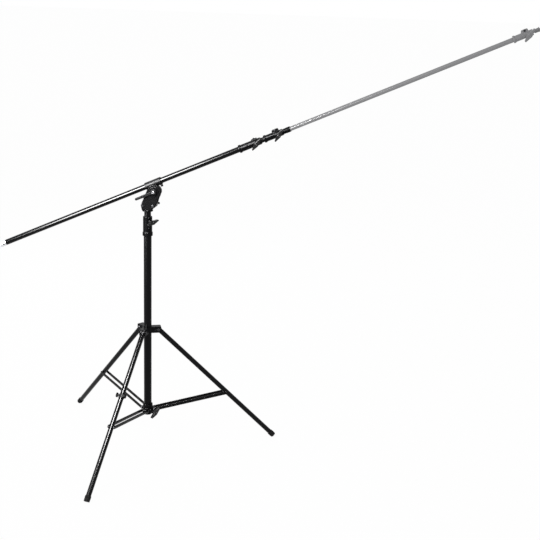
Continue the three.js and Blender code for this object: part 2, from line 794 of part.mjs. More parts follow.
/** The head: its casting with two cheeks, bolts, pan screw, tilt bolt and lever. */
function buildHead() {
  const outlineTo = (topRadius) => outlineRound([
    [headBaseRadius - headBaseHalfWidth, headBottom + headBaseRing + headBaseRadius, headBaseRadius],
    [headBaseHalfWidth - headBaseRadius, headBottom + headBaseRing + headBaseRadius, headBaseRadius],
    [shoulderRight - shoulderRadius, shoulderHeight, shoulderRadius],
    [pivotX, pivotHeight, topRadius],
    [shoulderLeft + shoulderRadius, shoulderHeight, shoulderRadius],
  ]);
  const body = uprightSlab(outlineTo(backCheekRadius), headDepth, headBevel);
  const frontCheek = uprightSlab(outlineTo(cheekRadius), headFront - cheekInner, headBevel)
    .translate(0, -(headFront + cheekInner) / 2, 0);
  const baseRing = rod(headBaseRingRadius, headBottom, headBottom + headBaseRing, roundSides);
  const neck = rod(headBaseHalfWidth - headBevel, headBottom, shoulderHeight, roundSides);
  const slot = crossRod(headSlotRadius, pivotX, pivotHeight, -cheekInner, cheekInner, roundSides);
  const cheekFront = headFront + cheekRingProud;
  const cheekRing = crossRod(cheekRingRadius, pivotX, pivotHeight, -cheekFront, 0, roundSides);
  const socket = rod(riserRadius + gap, headBottom - cutOverrun, headBottom + headSocketDepth, roundSides);
  const past = cheekFront + cutOverrun;
  const tiltHole = crossRod(tiltBoltRadius + gap, pivotX, pivotHeight, -past, past);
  const panHole = rod(panScrewShaftRadius + gap, 0, shoulderRight + cutOverrun)
    .rotateY(Math.PI / 2)
    .translate(0, 0, panScrewHeight);
  const boltCuts = [headBoltLeft, headBoltRight].flatMap((x) => [
    crossRod(headBoltRadius + gap, x, shoulderHeight, -past, past),
    crossRod(headBoltHeadRadius + gap, x, shoulderHeight, -past, headBoltRecess - headFront),
  ]);
  const solid = join(body, frontCheek, cheekRing, baseRing, neck);
  const head = cut(solid, slot, socket, tiltHole, panHole, ...boltCuts);
  addPart(boomStand, "head_casting", head, "casting");

  const headFloor = headBoltRecess - headFront - gap;
  [["left", headBoltLeft], ["right", headBoltRight]].forEach(([side, x]) => {
    const bolt = turned([
      [0, headFloor - headBoltHeadHeight],
      [headBoltHeadRadius, headFloor - headBoltHeadHeight],
      [headBoltHeadRadius, headFloor],
      [headBoltRadius, headFloor],
      [headBoltRadius, headFront + gap],
      [headBoltHeadRadius, headFront + gap],
      [headBoltHeadRadius, headFront + gap + headBoltHeadHeight],
      [0, headFront + gap + headBoltHeadHeight],
    ], boltSides).rotateX(-Math.PI / 2).translate(x, 0, shoulderHeight);
    addPart(boomStand, `head_bolt_${side}`, bolt, "darkSteel");
  });

  const panSeat = riserRadius + gap;
  const headFrom = shoulderRight + panScrewProud;
  const panScrew = turned([
    [0, panSeat],
    [panScrewShaftRadius, panSeat],
    [panScrewShaftRadius, headFrom],
    [panScrewHeadRadius, headFrom],
    [panScrewHeadRadius, headFrom + panScrewHeadLength],
    [0, headFrom + panScrewHeadLength],
  ], boltSides).rotateY(Math.PI / 2).translate(0, 0, panScrewHeight);
  addPart(boomStand, "pan_lock_screw", panScrew, "plastic");

  const hubBack = -cheekFront - gap;
  const hubFront = hubBack - leverHubHeight;
  const boltHead = hubFront - gap;
  const tiltBolt = turned([
    [0, boltHead - tiltBoltHeadHeight],
    [tiltBoltHeadRadius - clampChamfer, boltHead - tiltBoltHeadHeight],
    [tiltBoltHeadRadius, boltHead - tiltBoltHeadHeight + clampChamfer],
    [tiltBoltHeadRadius, boltHead],
    [tiltBoltRadius, boltHead],
    [tiltBoltRadius, headFront + tiltNutHeight + gap],
    [0, headFront + tiltNutHeight + gap],
  ], boltSides);
  addPart(
    boomStand, "tilt_bolt", tiltBolt.rotateX(-Math.PI / 2).translate(pivotX, 0, pivotHeight), "steel",
  );
  const hexSides = 6;
  const nutFrom = headFront + gap;
  const nutTo = nutFrom + tiltNutHeight;
  const nut = cut(
    crossRod(tiltNutRadius, pivotX, pivotHeight, nutFrom, nutTo, hexSides),
    crossRod(tiltBoltRadius + gap, pivotX, pivotHeight, headFront, nutTo + cutOverrun),
  );
  addPart(boomStand, "tilt_nut", nut, "darkSteel");

  const lever = frameIn(boomStand, [pivotX, 0, pivotHeight], [0, -toRadians(leverAngle), 0]);
  const armShape = outlineRound([
    [0, 0, leverRootRadius],
    [leverLength - leverTipRadius, 0, leverTipRadius],
  ]);
  const arm = uprightSlab(armShape, leverThickness, wingBevel).translate(0, (hubBack + hubFront) / 2, 0);
  const hub = crossRod(leverHubRadius, 0, 0, hubFront, hubBack, roundSides);
  const hubHole = crossRod(tiltBoltRadius + gap, 0, 0, hubFront - cutOverrun, hubBack + cutOverrun);
  addPart(lever, "tilt_lever", cut(join(arm, hub), hubHole), "plastic");
}

/** The boom holder: friction disc and sleeve in one casting, with the sleeve's liner and screw. */
function buildHolder(boom) {
  const tubeRadius = sectionDiameters[0] / 2;
  const linerInner = tubeRadius + gap;
  const linerOuter = linerInner + sleeveLinerWall;
  const sleeveInner = linerOuter + gap;
  const sleeveOuter = sleeveInner + sleeveWall;
  const disc = crossRod(discRadius, 0, 0, -discThickness / 2, discThickness / 2, roundSides);
  const along = (geometry) => geometry.rotateY(Math.PI / 2).translate(0, 0, boomOffset);
  const sleeve = along(rod(sleeveOuter, -sleeveBack, sleeveFront, roundSides));
  const bore = along(rod(sleeveInner, -sleeveBack - cutOverrun, sleeveFront + cutOverrun, roundSides));
  const bossLow = boomOffset - sleeveOuter - sleeveBossProud;
  const boss = rod(sleeveBossRadius, bossLow, boomOffset).translate(sleeveScrewStation, 0, 0);
  const screwHole = rod(sleeveScrewRadius + gap, bossLow - cutOverrun, boomOffset)
    .translate(sleeveScrewStation, 0, 0);
  const pivotHole = crossRod(tiltBoltRadius + gap, 0, 0, -discThickness, discThickness);
  addPart(boom, "boom_holder", cut(join(disc, sleeve, boss), bore, screwHole, pivotHole), "casting");
  addPart(boom, "sleeve_liner", along(pipe(linerOuter, linerInner, -sleeveBack, sleeveFront)), "plastic");
  const seat = bossLow - gap;
  const screwTop = boomOffset - linerOuter - gap;
  const screw = turned([
    [0, seat - sleeveScrewHeadHeight],
    [sleeveScrewHeadRadius - clampChamfer, seat - sleeveScrewHeadHeight],
    [sleeveScrewHeadRadius, seat - sleeveScrewHeadHeight + clampChamfer],
    [sleeveScrewHeadRadius, seat],
    [sleeveScrewRadius, seat],
    [sleeveScrewRadius, screwTop],
    [0, screwTop],
  ], boltSides);
  addPart(boom, "sleeve_lock_screw", screw.translate(sleeveScrewStation, 0, 0), "plastic");
}

/** The three boom sections with their clamps, bushes and screws, along the axis frame's Z. */
function buildSections(axis) {
  const radii = sectionDiameters.map((diameter) => diameter / 2);
  const section1Front = clamp1Start + clamp1Length * boomClampGripShare;
  const section2Front = clamp2Start + clamp2Length * boomClampGripShare;
  const section3Front = endClampStart + endClampLength * boomClampGripShare;
  const spans = [[tailX, section1Front], [section2Back, section2Front], [section3Back, section3Front]];
  spans.forEach(([from, to], i) => {
    const finish = i === 2 ? "greyTube" : "tube";
    addPart(axis, `boom_tube_${i + 1}`, pipe(radii[i], radii[i] - sectionWall, from, to), finish);
  });

  const plugHead = tailX - gap;
  const plugEnd = plugHead - tailPlugLength;
  const plugBore = radii[0] - sectionWall - gap;
  const plug = turned([
    [0, plugEnd],
    [radii[0] - tailPlugChamfer, plugEnd],
    [radii[0], plugEnd + tailPlugChamfer],
    [radii[0], plugHead],
    [plugBore, plugHead],
    [plugBore, tailX + tailPlugInside],
    [0, tailX + tailPlugInside],
  ]);
  const past = radii[0] + cutOverrun;
  const hole = crossRod(tailHoleRadius, 0, tailX - tailHoleStation, -past, past);
  addPart(axis, "tail_plug", cut(plug, hole), "bareAluminium");

  const clamps = [
    { name: "clamp_1", start: clamp1Start, length: clamp1Length, bush: [0, clampBushFlange] },
    { name: "clamp_2", start: clamp2Start, length: clamp2Length, bush: [mouthBushNeck, mouthBushHead] },
    { name: "end_clamp", start: endClampStart, length: endClampLength, bush: null },
  ];
  clamps.forEach(({ name, start, length, bush }, i) => {
    const plan = clampPlan({
      length,
      grip: length * boomClampGripShare,
      ring: boomClampRing,
      outerRadius: radii[i],
      innerRadius: i === 2 ? spigotRadius : radii[i + 1],
      screwStation: boomClampScrewStation,
      hasBush: bush !== null,
    });
    const [castingFinish, screwFinish] = i === 2 ? ["greyTube", "greyTube"] : ["casting", "plastic"];
    const frame = frameIn(axis, [0, 0, start]);
    addPart(frame, `${name}_body`, clampCasting(plan, boomClampScrewAngle, boomLobeAngles[i]), castingFinish);
    addPart(frame, `${name}_bolt`, lobeBolt(plan, boomLobeAngles[i]), "darkSteel");
    addClampScrew(frame, `${name}_screw`, plan, boomClampScrewAngle, boomWingAngles[i], screwFinish);
    if (bush) addPart(frame, `${name}_bush`, clampBush(plan, ...bush), "plastic");
  });
}

/** The spigot in the end clamp: seat, neck, head, flange and stud. */
function buildSpigot(axis) {
  const mouth = endClampStart + endClampLength;
  const neckEnd = mouth + spigotNeck;
  const headEnd = neckEnd + spigotHead;
  const flangeEnd = headEnd + spigotFlange;
  const studEnd = flangeEnd + spigotStud;
  addPart(axis, "spigot", turned([
    [0, mouth - spigotSeat],
    [spigotRadius, mouth - spigotSeat],
    [spigotRadius, mouth],
    [spigotNeckRadius, mouth + spigotChamfer],
    [spigotNeckRadius, neckEnd - spigotChamfer],
    [spigotRadius, neckEnd],
    [spigotRadius, headEnd],
    [spigotFlangeRadius, headEnd],
    [spigotFlangeRadius, flangeEnd],
    [spigotStudRadius, flangeEnd],
    [spigotStudRadius, studEnd - spigotChamfer],
    [spigotStudRadius - spigotChamfer, studEnd],
    [0, studEnd],
  ], spigotSides), "greyTube");
}

buildColumn();
buildSpider();
Object.entries(legAzimuths).forEach(([side, azimuth]) => {
  const leg = buildLeg(side, azimuth);
  if (side === "front") buildAccessoryClip(leg);
});
buildCollar();
Object.entries(legAzimuths).forEach(([side, azimuth]) => buildBrace(side, azimuth));
buildHead();
const boomFrame = frameIn(boomStand, [pivotX, 0, pivotHeight], [0, -toRadians(boomElevation), 0]);
buildHolder(boomFrame);
const boomAxis = frameIn(boomFrame, [0, 0, boomOffset], [0, Math.PI / 2, 0]);
buildSections(boomAxis);
buildSpigot(boomAxis);

export default boomStand;
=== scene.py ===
import json
import logging
import math
from dataclasses import dataclass, field, replace
from enum import Enum
from typing import Sequence

import bmesh
import bpy
from mathutils import Matrix, Vector

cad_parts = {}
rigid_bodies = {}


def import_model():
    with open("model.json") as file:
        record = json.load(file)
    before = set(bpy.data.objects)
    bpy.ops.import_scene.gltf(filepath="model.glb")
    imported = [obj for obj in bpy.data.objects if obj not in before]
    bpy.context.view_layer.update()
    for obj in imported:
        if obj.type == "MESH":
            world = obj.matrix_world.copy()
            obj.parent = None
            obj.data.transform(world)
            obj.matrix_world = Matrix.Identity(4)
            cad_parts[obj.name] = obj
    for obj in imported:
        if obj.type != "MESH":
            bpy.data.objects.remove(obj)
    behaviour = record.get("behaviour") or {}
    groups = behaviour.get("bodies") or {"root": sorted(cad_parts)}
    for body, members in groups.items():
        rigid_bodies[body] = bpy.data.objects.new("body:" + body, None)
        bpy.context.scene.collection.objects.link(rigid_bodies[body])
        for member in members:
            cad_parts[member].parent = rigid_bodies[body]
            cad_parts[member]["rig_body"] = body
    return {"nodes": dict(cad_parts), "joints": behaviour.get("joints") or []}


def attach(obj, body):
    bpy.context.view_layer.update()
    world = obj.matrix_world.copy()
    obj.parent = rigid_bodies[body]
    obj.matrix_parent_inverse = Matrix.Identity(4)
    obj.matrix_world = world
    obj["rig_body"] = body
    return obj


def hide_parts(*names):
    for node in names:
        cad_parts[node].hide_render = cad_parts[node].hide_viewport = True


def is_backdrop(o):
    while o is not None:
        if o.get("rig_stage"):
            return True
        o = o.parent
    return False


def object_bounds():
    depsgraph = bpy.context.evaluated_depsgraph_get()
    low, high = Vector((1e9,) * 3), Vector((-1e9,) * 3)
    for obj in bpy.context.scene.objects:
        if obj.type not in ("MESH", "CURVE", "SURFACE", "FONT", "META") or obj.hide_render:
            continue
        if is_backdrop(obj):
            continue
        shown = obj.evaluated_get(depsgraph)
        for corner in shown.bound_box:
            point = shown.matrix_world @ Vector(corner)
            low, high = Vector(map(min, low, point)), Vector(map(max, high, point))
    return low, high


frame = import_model()

Point = tuple[float, float]
Triple = tuple[float, float, float]
Socket = bpy.types.NodeSocket
Outputs = bpy.types.bpy_prop_collection

MM = 0.001
UPRIGHT = Matrix.Identity(4)

# How many faces go round a turned form, a small one and a drilled hole
TURN_SIDES = 72
FINE_SIDES = 40
HOLE_SIDES = 32

# Edges sharper than this, in degrees, stay crisp on a machined and on a cast piece
EDGE_ANGLE = 32.0
CAST_EDGE_ANGLE = 50.0

# Lengths that assemblies share, in millimetres: the play of a fit, and how far a tool cuts past its work
PLAY = 0.3
OVERCUT = 6.0
COLUMN_RADIUS = 17.5
LEG_PIVOT = 48.0
BRACE_ATTACH = 456.0
PIN_HOLE = 4.3
SMALL_PIN_HOLE = 3.3
TILT_HOLE = 5.3

# The legs' slope and their directions round the column, in degrees
LEG_ANGLE = 44.5
LEGS = {"right": 22.4, "front": -97.6, "rear": 142.4}

log = logging.getLogger("boom_stand")


# Outlines and places


def softened(points: Sequence[Point], radius: float, steps: int = 4, closed: bool = False) -> list[Point]:
    """Rounds the corners of a profile or an outline.

    Args:
        points: The corners in order.
        radius: How far from a corner its rounding starts.
        steps: How many straight pieces make one rounding.
        closed: Whether the last corner joins the first.

    Returns:
        The points of the rounded line.
    """
    made: list[Point] = []
    count = len(points)
    for i, point in enumerate(points):
        if not closed and i in (0, count - 1):
            made.append((float(point[0]), float(point[1])))
            continue
        here = Vector(point)
        back = Vector(points[i - 1]) - here
        ahead = Vector(points[(i + 1) % count]) - here
        reach = min(radius, 0.45 * back.length, 0.45 * ahead.length)
        start = here + back.normalized() * reach
        end = here + ahead.normalized() * reach
        for k in range(steps + 1):
            share = k / steps
            spot = start.lerp(here, share).lerp(here.lerp(end, share), share)
            made.append((spot.x, spot.y))
    return made


def belt(circles: Sequence[Triple], steps: int = 12) -> list[Point]:
    """Draws the line of a belt round circles.

    Args:
        circles: The x, y and radius of each circle, anticlockwise.
        steps: How many straight pieces follow each circle.

    Returns:
        The outline's points.
    """
    normals = []
    for i, (x, y, radius) in enumerate(circles):
        next_x, next_y, next_radius = circles[(i + 1) % len(circles)]
        distance = math.hypot(next_x - x, next_y - y)
        heading = math.atan2(next_y - y, next_x - x)
        normals.append(heading - math.pi / 2 + math.asin((radius - next_radius) / distance))
    points: list[Point] = []
    for i, (x, y, radius) in enumerate(circles):
        sweep = (normals[i] - normals[i - 1]) % math.tau
        for k in range(steps + 1):
            angle = normals[i - 1] + sweep * k / steps
            points.append((x + radius * math.cos(angle), y + radius * math.sin(angle)))
    return points


def shift(x: float, y: float, z: float) -> Matrix:
    """Moves by x, y and z."""
    return Matrix.Translation((x, y, z))


def turn(degrees: float, axis: str) -> Matrix:
    """Turns about X, Y or Z."""
    return Matrix.Rotation(math.radians(degrees), 4, axis)


def outward(angle: float, height: float, distance: float) -> Matrix:
    """Gives the frame whose Z points out from a Z axis, at an angle, a height and a distance."""
    return turn(angle, "Z") @ shift(distance, 0, height) @ turn(90, "Y")


def across(x: float, z: float) -> Matrix:
    """Gives the frame whose Z runs along +Y through x and z."""
    return shift(x, 0, z) @ turn(-90, "X")


def standing(angle: float) -> Matrix:
    """Gives the frame whose X points out from a Z axis at an angle, and whose Y points up."""
    return turn(angle, "Z") @ turn(90, "X")


def facing(first: Vector, second: Vector, back: Vector, spot: Vector) -> Matrix:
    """Gives the frame of a camera or a lamp, which look along their own -Z.

    Args:
        first: The direction of its X.
        second: The direction of its Y.
        back: The direction of its Z.
        spot: Its place.

    Returns:
        The frame.
    """
    view = Matrix((first, second, back)).transposed().to_4x4()
    view.translation = spot
    return view


# Objects and nodes


def stand(name: str, data: bpy.types.ID) -> bpy.types.Object:
    """Stands an object in the scene.

    Args:
        name: The object's name.
        data: Its mesh, camera or light.

    Returns:
        The object.
    """
    made = bpy.data.objects.new(name, data)
    bpy.context.scene.collection.objects.link(made)
    return made


def settled(workpiece: bpy.types.Object) -> bpy.types.Mesh:
    """Removes an object and leaves the plain mesh that its modifiers make.

    Args:
        workpiece: The object with its modifiers.

    Returns:
        The mesh.
    """
    graph = bpy.context.evaluated_depsgraph_get()
    graph.update()
    made = bpy.data.meshes.new_from_object(workpiece.evaluated_get(graph))
    discard(workpiece)
    return made


def discard(workpiece: bpy.types.Object) -> None:
    """Removes an object and its mesh.

    Args:
        workpiece: The object.
    """
    mesh = workpiece.data
    bpy.data.objects.remove(workpiece)
    bpy.data.meshes.remove(mesh)


class Wiring:
    """Adds nodes to one tree and links them."""

    def __init__(self, tree: bpy.types.NodeTree) -> None:
        """Holds the tree's nodes."""
        self.tree = tree
        self.nodes = tree.nodes

    def feed(self, node: bpy.types.Node, inputs: dict[str | int, object]) -> None:
        """Sets or links a node's inputs.

        Args:
            node: The node.
            inputs: A value, or the socket to link from, for each input's name or number.
        """
        for name, value in inputs.items():
            if isinstance(value, Socket):
                self.tree.links.new(value, node.inputs[name])
            else:
                node.inputs[name].default_value = value

    def add(self, kind: str, inputs: dict[str | int, object], **settings: str) -> Outputs:
        """Adds a node.

        Args:
            kind: The node's type.
            inputs: A value, or the socket to link from, for each input's name or number.
            settings: The node's own options.

        Returns:
            The node's outputs.
        """
        node = self.nodes.new(kind)
        for name, value in settings.items():
            setattr(node, name, value)
        self.feed(node, inputs)
        return node.outputs

    def mixed(self, share: Socket, first: object, second: object) -> Socket:
        """Mixes two colours by a share."""
        return self.add("ShaderNodeMix", {"Factor": share, "A": first, "B": second}, data_type="RGBA")["Result"]


# Shapes


class Shape:
    """A closed form in millimetres, in the frame of the piece that it belongs to."""

    def __init__(self, body: bmesh.types.BMesh, is_cast: bool = False) -> None:
        """Holds a mesh body, and whether its surface is eased like a casting's."""
        self.body = body
        self.is_cast = is_cast

    @classmethod
    def turned(cls, profile: Sequence[Point], sides: int = TURN_SIDES) -> "Shape":
        """Revolves a profile about Z.

        Args:
            profile: Radius and height pairs. It starts and ends on the axis, or closes on itself.
            sides: How many faces go round.

        Returns:
            The turned form.
        """
        body = bmesh.new()
        rings = []
        for radius, height in profile:
            angles = [math.tau * k / sides for k in range(sides if radius > 0 else 1)]
            rings.append([
                body.verts.new((radius * math.cos(angle), radius * math.sin(angle), height)) for angle in angles
            ])
        pairs = list(zip(rings, rings[1:]))
        if len(rings[0]) > 1:
            pairs.append((rings[-1], rings[0]))
        for low, high in pairs:
            for k in range(sides):
                after = (k + 1) % sides
                ends = ((low, k), (low, after), (high, after), (high, k))
                unique = list(dict.fromkeys(ring[i % len(ring)] for ring, i in ends))
                if len(unique) > 2:
                    body.faces.new(unique)
        bmesh.ops.recalc_face_normals(body, faces=body.faces)
        return cls(body)

    @classmethod
    def spun(cls, corners: Sequence[Point], edge: float, steps: int = 4, sides: int = TURN_SIDES) -> "Shape":
        """Makes a solid turned form with eased corners.

        Args:
            corners: Radius and height pairs. The first and the last are closed to the axis.
            edge: How far from a corner its rounding starts.
            steps: How many straight pieces make one rounding.
            sides: How many faces go round.

        Returns:
            The turned form.
        """
        closed = [(0, corners[0][1]), *corners, (0, corners[-1][1])]
        return cls.turned(softened(closed, edge, steps), sides)

    @classmethod
    def rod(cls, radius: float, low: float, high: float, edge: float = 0.5, sides: int = FINE_SIDES) -> "Shape":
        """Makes a round bar along Z with eased rims."""
        return cls.spun([(radius, low), (radius, high)], edge, 3, sides)

    @classmethod
    def drill(cls, radius: float, low: float, high: float, sides: int = HOLE_SIDES) -> "Shape":
        """Makes the tool that cuts a round hole along Z."""
        return cls.rod(radius, low, high, 0, sides)

    @classmethod
    def pipe(cls, outer: float, inner: float, low: float, high: float, edge: float = 0.4) -> "Shape":
        """Makes a tube along Z with eased rims."""
        corners = [(inner, low), (outer, low), (outer, high), (inner, high)]
        return cls.turned(softened(corners, edge, 3, closed=True))

    @classmethod
    def slab(cls, outline: Sequence[Point], thickness: float, edge: float = 0.0) -> "Shape":
        """Gives an outline a thickness along Z, centred, with rounded rims.

        Args:
            outline: The outline's points in X and Y.
            thickness: The slab's full thickness.
            edge: The size of the rounding at both rims.

        Returns:
            The slab.
        """
        body = bmesh.new()
        half = thickness / 2
        low = [body.verts.new((x, y, -half)) for x, y in outline]
        high = [body.verts.new((x, y, half)) for x, y in outline]
        count = len(outline)
        body.faces.new(list(reversed(low)))
        body.faces.new(high)
        for k in range(count):
            after = (k + 1) % count
            body.faces.new([low[k], low[after], high[after], high[k]])
        bmesh.ops.remove_doubles(body, verts=body.verts, dist=1e-4)
        bmesh.ops.recalc_face_normals(body, faces=body.faces)
        if edge > 0:
            rims = [e for e in body.edges if abs(e.verts[0].co.z - e.verts[1].co.z) < 1e-6]
            bmesh.ops.bevel(body, geom=rims, offset=edge, segments=3, profile=0.5, affect="EDGES",
                            clamp_overlap=True)
        return cls(body)

    @classmethod
    def hexagon(cls, radius: float, thickness: float, edge: float = 0.0) -> "Shape":
        """Makes a slab with six sides."""
        angles = [math.tau * k / 6 for k in range(6)]
        return cls.slab([(radius * math.cos(a), radius * math.sin(a)) for a in angles], thickness, edge)

    @classmethod
    def of_mesh(cls, mesh: bpy.types.Mesh, is_cast: bool = False) -> "Shape":
        """Reads a form from a mesh, and removes the mesh.

        Args:
            mesh: The mesh.
            is_cast: Whether its surface is eased like a casting's.

        Returns:
            The form.
        """
        body = bmesh.new()
        body.from_mesh(mesh)
        bpy.data.meshes.remove(mesh)
        return cls(body, is_cast)

    def moved(self, *steps: Matrix) -> "Shape":
        """Moves and turns the form.

        Args:
            steps: The matrices, in the order of a product.

        Returns:
            The same form.
        """
        whole = Matrix.Identity(4)
        for step in steps:
            whole = whole @ step
        bmesh.ops.transform(self.body, matrix=whole, verts=self.body.verts)
        return self

    def beside(self, *others: "Shape") -> "Shape":
        """Adds other forms as they are, without joining their surfaces.

        Args:
            others: The forms.

        Returns:
            This form with the others.
        """
        for other in others:
            mesh = bpy.data.meshes.new("loan")
            other.body.to_mesh(mesh)
            self.body.from_mesh(mesh)
            bpy.data.meshes.remove(mesh)
        return self

    def _workpiece(self, name: str) -> bpy.types.Object:
        """Stands the form in the scene while modifiers work on it.

        Args:
            name: The name of the object.

        Returns:
            The object.
        """
        mesh = bpy.data.meshes.new(name)
        self.body.to_mesh(mesh)
        return stand(name, mesh)

    def _combined(self, operation: str, others: Sequence["Shape"]) -> "Shape":
        """Joins or cuts with other forms.

        Args:
            operation: What the modifier does with each form.
            others: The forms.

        Returns:
            The new form.
        """
        base = self._workpiece("base")
        tools = [other._workpiece("tool") for other in others]
        for tool in tools:
            modifier = base.modifiers.new("combine", "BOOLEAN")
            modifier.operation = operation
            modifier.solver = "MANIFOLD"
            modifier.object = tool
        made = settled(base)
        for tool in tools:
            discard(tool)
        return Shape.of_mesh(made)

    def joined(self, *others: "Shape") -> "Shape":
        """Fuses other forms with this one."""
        return self._combined("UNION", others)

    def cut(self, *tools: "Shape") -> "Shape":
        """Cuts other forms out of this one."""
        return self._combined("DIFFERENCE", tools)

    def cast(self, grain: float, passes: int = 3) -> "Shape":
        """Gives the form the eased edges and filled corners of a casting or a moulding.

        Args:
            grain: The size of the new surface's faces.
            passes: How many times the surface is eased.

        Returns:
            The eased form.
        """
        base = self._workpiece("pattern")
        skin = base.modifiers.new("skin", "REMESH")
        skin.mode = "VOXEL"
        skin.voxel_size = grain
        ease = base.modifiers.new("ease", "SMOOTH")
        ease.factor = 0.5
        ease.iterations = passes
        return Shape.of_mesh(settled(base), is_cast=True)


# Repeats


class Pattern(Enum):
    """What a tree of nodes repeats."""

    RIBS = "ribs"
    THREAD = "thread"


class RepeatTree:
    """A Geometry Nodes tree that sets bars round a circle, or rings along a line."""

    def __init__(self, pattern: Pattern) -> None:
        """Builds the tree.

        Args:
            pattern: Bars round a circle, or rings along a line.
        """
        self.tree = bpy.data.node_groups.new(pattern.value, "GeometryNodeTree")
        last = "Bar Length" if pattern is Pattern.RIBS else "Pitch"
        wanted = {
            "Count": "Int", "Circle Radius": "Float", "Bar Radius": "Float", last: "Float", "Finish": "Material",
        }
        face = self.tree.interface
        self.inputs = {
            name: face.new_socket(name=name, in_out="INPUT", socket_type=f"NodeSocket{kind}").identifier
            for name, kind in wanted.items()
        }
        face.new_socket(name="Geometry", in_out="OUTPUT", socket_type="NodeSocketGeometry")
        self.board = Wiring(self.tree)
        self.given = self.board.add("NodeGroupInput", {})
        places, copy = self._ribs() if pattern is Pattern.RIBS else self._thread()
        spread = self.board.add("GeometryNodeInstanceOnPoints", {"Points": places, "Instance": copy})
        real = self.board.add("GeometryNodeRealizeInstances", {"Geometry": spread["Instances"]})
        paint = self.board.add("GeometryNodeSetMaterial", {
            "Geometry": real["Geometry"], "Material": self.given["Finish"],
        })
        self.board.add("NodeGroupOutput", {"Geometry": paint["Geometry"]})

    def _ribs(self) -> tuple[Socket, Socket]:
        """Makes the circle of places and the upright bar.

        Returns:
            The places and the bar.
        """
        circle = self.board.add("GeometryNodeMeshCircle", {
            "Vertices": self.given["Count"], "Radius": self.given["Circle Radius"],
        })
        bar = self.board.add("GeometryNodeMeshCylinder", {
            "Vertices": 8, "Radius": self.given["Bar Radius"], "Depth": self.given["Bar Length"],
        })
        return circle["Mesh"], bar["Mesh"]

    def _thread(self) -> tuple[Socket, Socket]:
        """Makes the line of places and the ring.

        Returns:
            The places and the ring.
        """
        step = self.board.add("ShaderNodeCombineXYZ", {"Z": self.given["Pitch"]})
        line = self.board.add("GeometryNodeMeshLine", {"Count": self.given["Count"], "Offset": step["Vector"]})
        path = self.board.add("GeometryNodeCurvePrimitiveCircle", {
            "Resolution": FINE_SIDES, "Radius": self.given["Circle Radius"],
        })
        section = self.board.add("GeometryNodeCurvePrimitiveCircle", {
            "Resolution": 8, "Radius": self.given["Bar Radius"],
        })
        sweep = self.board.add("GeometryNodeCurveToMesh", {
            "Curve": path["Curve"], "Profile Curve": section["Curve"],
        })
        return line["Mesh"], sweep["Mesh"]

    def shape(self, finish: bpy.types.Material, **sizes: float) -> Shape:
        """Runs the tree.

        Args:
            finish: The material that the copies get.
            sizes: The tree's inputs by name, with underscores for spaces.

        Returns:
            The repeated form.
        """
        host = stand("host", bpy.data.meshes.new("host"))
        modifier = host.modifiers.new("repeat", "NODES")
        modifier.node_group = self.tree
        for name, value in sizes.items():
            modifier[self.inputs[name.replace("_", " ").title()]] = value
        modifier[self.inputs["Finish"]] = finish
        return Shape.of_mesh(settled(host))


# Finishes


class Grain(Enum):
    """How a surface's fine relief runs."""

    EVEN = "even"
    DRAWN = "drawn"
    TURNED = "turned"


